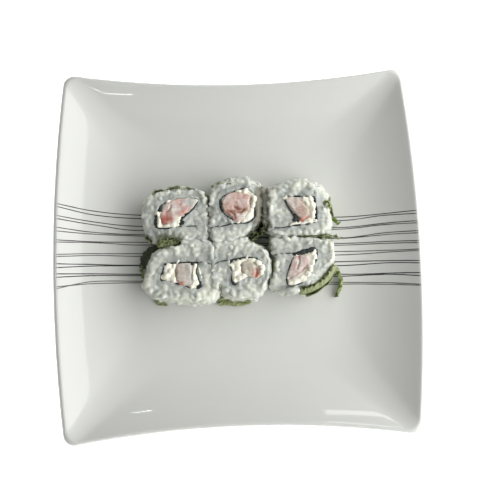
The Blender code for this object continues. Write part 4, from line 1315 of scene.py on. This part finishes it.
def add_frill(bm, young, form, seed):
    """Adds a strip of leaf whose high edge is longer than its low one, so that it folds to and fro."""
    path, low, high, lean, wave, yellow = form
    strip = bmesh.ops.create_grid(bm, x_segments=90, y_segments=6, size=1)["verts"]
    faces = list({f for v in strip for f in v.link_faces})
    for v in strip:
        level = (v.co.y + 1) / 2
        place, along, length = on_path(path, (v.co.x + 1) / 2)
        way = (v.co.x + 1) / 2 * length / MM
        phase = way / FRILL_FOLD * math.tau + 2.5 * noise.noise(Vector((way / 7, seed, 0))) + seed
        size = wave * (0.6 + 0.8 * abs(noise.noise(Vector((way / 5, seed, 3))) * 2))
        out = lean * level + size * level * (math.sin(phase) + 0.35 * math.sin(2.6 * phase + seed))
        shift = 0.6 * size * level * math.cos(phase)
        ragged = 0.9 * noise.noise(Vector((way / 1.3, seed, 7))) + 0.9 * noise.noise(Vector((way / 3.1, seed, 9)))
        tip = high + (ragged + 0.5 * wave * math.sin(1.7 * phase)) * min((high - low) / 4, 1)
        flat = place + (along * shift + Vector((-along.y, along.x)) * out) * MM
        v.co = Vector((flat.x, flat.y, (low + (tip - low) * level) * MM))
        v[young] = yellow * (0.55 + 0.45 * level)
    bmesh.ops.solidify(bm, geom=faces, thickness=LEAF_THICKNESS)


class URAMAKI_OT_leaves(bpy.types.Operator):
    """Make the ragged salad leaves round and between the rolls"""

    bl_idname = "uramaki.leaves"
    bl_label = "Leaves"

    def execute(self, context):
        material = salad_leaf(context.scene.uramaki_leaf)
        for n, (name, yellow) in enumerate(LEAVES.items()):
            bm = solid_copies(name)
            bmesh.ops.subdivide_edges(bm, edges=bm.edges, cuts=4, use_grid_fill=True, smooth=0.4)
            bm.normal_update()
            inwards = [v.normal * -0.14 * MM for v in bm.verts]
            low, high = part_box(f"rice_{name[5]}")
            middle = (low + high) / 2
            top = max(v.co.z for v in bm.verts)
            young = bm.verts.layers.float.new("young")
            for v, thinner in zip(bm.verts, inwards):
                v.co += thinner
                if name in HUGGING:
                    inner = Vector((middle.x - v.co.x, middle.y - v.co.y, 0)).normalized()
                    v.co += inner * (0.9 + 2.6 * share_of(HIDDEN_LEAF.get(name, ()), v.co)) * MM
                high = min(max(1 - (top - v.co.z) / (6 * MM), 0), 1)
                sway = noise.noise_vector(v.co * 160 + Vector((n, 0, 0)))
                crimp = noise.noise_vector(v.co * 420 + Vector((0, n, 0)))
                v.co += sway * 0.5 * MM + crimp * 0.45 * MM * (0.4 + high)
                v.co.z += 0.9 * MM * high * noise.noise(v.co * 330)
                v.co.z = max(v.co.z, FLOOR_HEIGHT + 0.15 * MM)
                v[young] = yellow * (0.5 + 0.5 * high) + 0.25 * noise.noise(v.co * 120)
            for i, form in enumerate(FRILLS.get(name, ())):
                add_frill(bm, young, form, n + 0.37 * i)
            bmesh.ops.recalc_face_normals(bm, faces=bm.faces)
            add_piece(f"salad_{name}", bm, material, "leaf", name)
        return {"FINISHED"}


# Stage


def add_light(name, size, power, place, way):
    """Adds an area light of this size in metres and power in watts, which shines this way."""
    light = bpy.data.lights.new(name, "AREA")
    light.shape = "RECTANGLE"
    light.size, light.size_y = size
    light.energy = power
    lamp = bpy.data.objects.new(name, light)
    lamp.location = place
    lamp.rotation_euler = Vector(way).to_track_quat("-Z", "Y").to_euler()
    bpy.context.scene.collection.objects.link(lamp)


class URAMAKI_OT_stage(bpy.types.Operator):
    """Set up the pale table, the window light and the camera"""

    bl_idname = "uramaki.stage"
    bl_label = "Stage"

    def execute(self, context):
        scene = context.scene
        stage = scene.uramaki_stage
        bm = bmesh.new()
        bmesh.ops.create_grid(bm, x_segments=1, y_segments=1, size=3)
        bmesh.ops.translate(bm, verts=bm.verts, vec=(0, 0, -0.1 * MM))
        table = make_object("table", bm, table_paper(stage))

        world = bpy.data.worlds.new("room")
        world.use_nodes = True
        world.node_tree.nodes["Background"].inputs["Color"].default_value = (1, 1, 1, 1)
        world.node_tree.nodes["Background"].inputs["Strength"].default_value = stage.room
        scene.world = world

        # Both panes stand upright, so that their top edge shows in the glaze of the left wall
        add_light("low pane", (1.6, 0.6), stage.window, (0.68, 0.05, 0.45), (-1, 0, 0))
        add_light("high pane", (1.6, 0.5), stage.sky, (0.68, 0.05, 1.0), (-1, 0, 0))
        add_light("room side", (1.6, 1.6), stage.side, (0.1, -1.1, 0.9), (-0.1, 1.1, -0.9))
        for name, glint, way, size, power in LAMPS:
            add_light(name, size, power, Vector(glint) + Vector(way).normalized(), -Vector(way))

        lens = bpy.data.cameras.new("camera")
        lens.lens = stage.lens
        lens.sensor_width = 36
        camera = bpy.data.objects.new("camera", lens)
        camera.location = CAMERA_PLACE
        camera.rotation_euler = [math.radians(turn) for turn in CAMERA_TURNS]
        scene.collection.objects.link(camera)
        scene.camera = camera
        scene.view_settings.view_transform = "Standard"
        return {"FINISHED"}


PIECES = (
    URAMAKI_OT_dish,
    URAMAKI_OT_printed_lines,
    URAMAKI_OT_rice,
    URAMAKI_OT_seaweed,
    URAMAKI_OT_cheese,
    URAMAKI_OT_prawn,
    URAMAKI_OT_leaves,
    URAMAKI_OT_stage,
)


class URAMAKI_PT_sidebar(bpy.types.Panel):
    bl_label = "Uramaki"
    bl_idname = "URAMAKI_PT_sidebar"
    bl_space_type = "VIEW_3D"
    bl_region_type = "UI"
    bl_category = "Uramaki"

    def draw(self, context):
        for piece in PIECES:
            self.layout.operator(piece.bl_idname)
        for name, kind in SETTINGS.items():
            box = self.layout.box()
            for prop in kind.__annotations__:
                box.prop(getattr(context.scene, name), prop)


def register():
    for kind in (*SETTINGS.values(), *PIECES, URAMAKI_PT_sidebar):
        bpy.utils.register_class(kind)
    for name, kind in SETTINGS.items():
        setattr(bpy.types.Scene, name, PointerProperty(type=kind))


def unregister():
    for name in SETTINGS:
        delattr(bpy.types.Scene, name)
    for kind in reversed((*SETTINGS.values(), *PIECES, URAMAKI_PT_sidebar)):
        bpy.utils.unregister_class(kind)


def main():
    register()
    noise.seed_set(NOISE_SEED)
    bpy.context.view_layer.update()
    bpy.ops.uramaki.dish()
    bpy.ops.uramaki.printed_lines()
    bpy.ops.uramaki.rice()
    bpy.ops.uramaki.seaweed()
    bpy.ops.uramaki.cheese()
    bpy.ops.uramaki.prawn()
    bpy.ops.uramaki.leaves()
    bpy.ops.uramaki.stage()


if __name__ == "__main__":
    main()
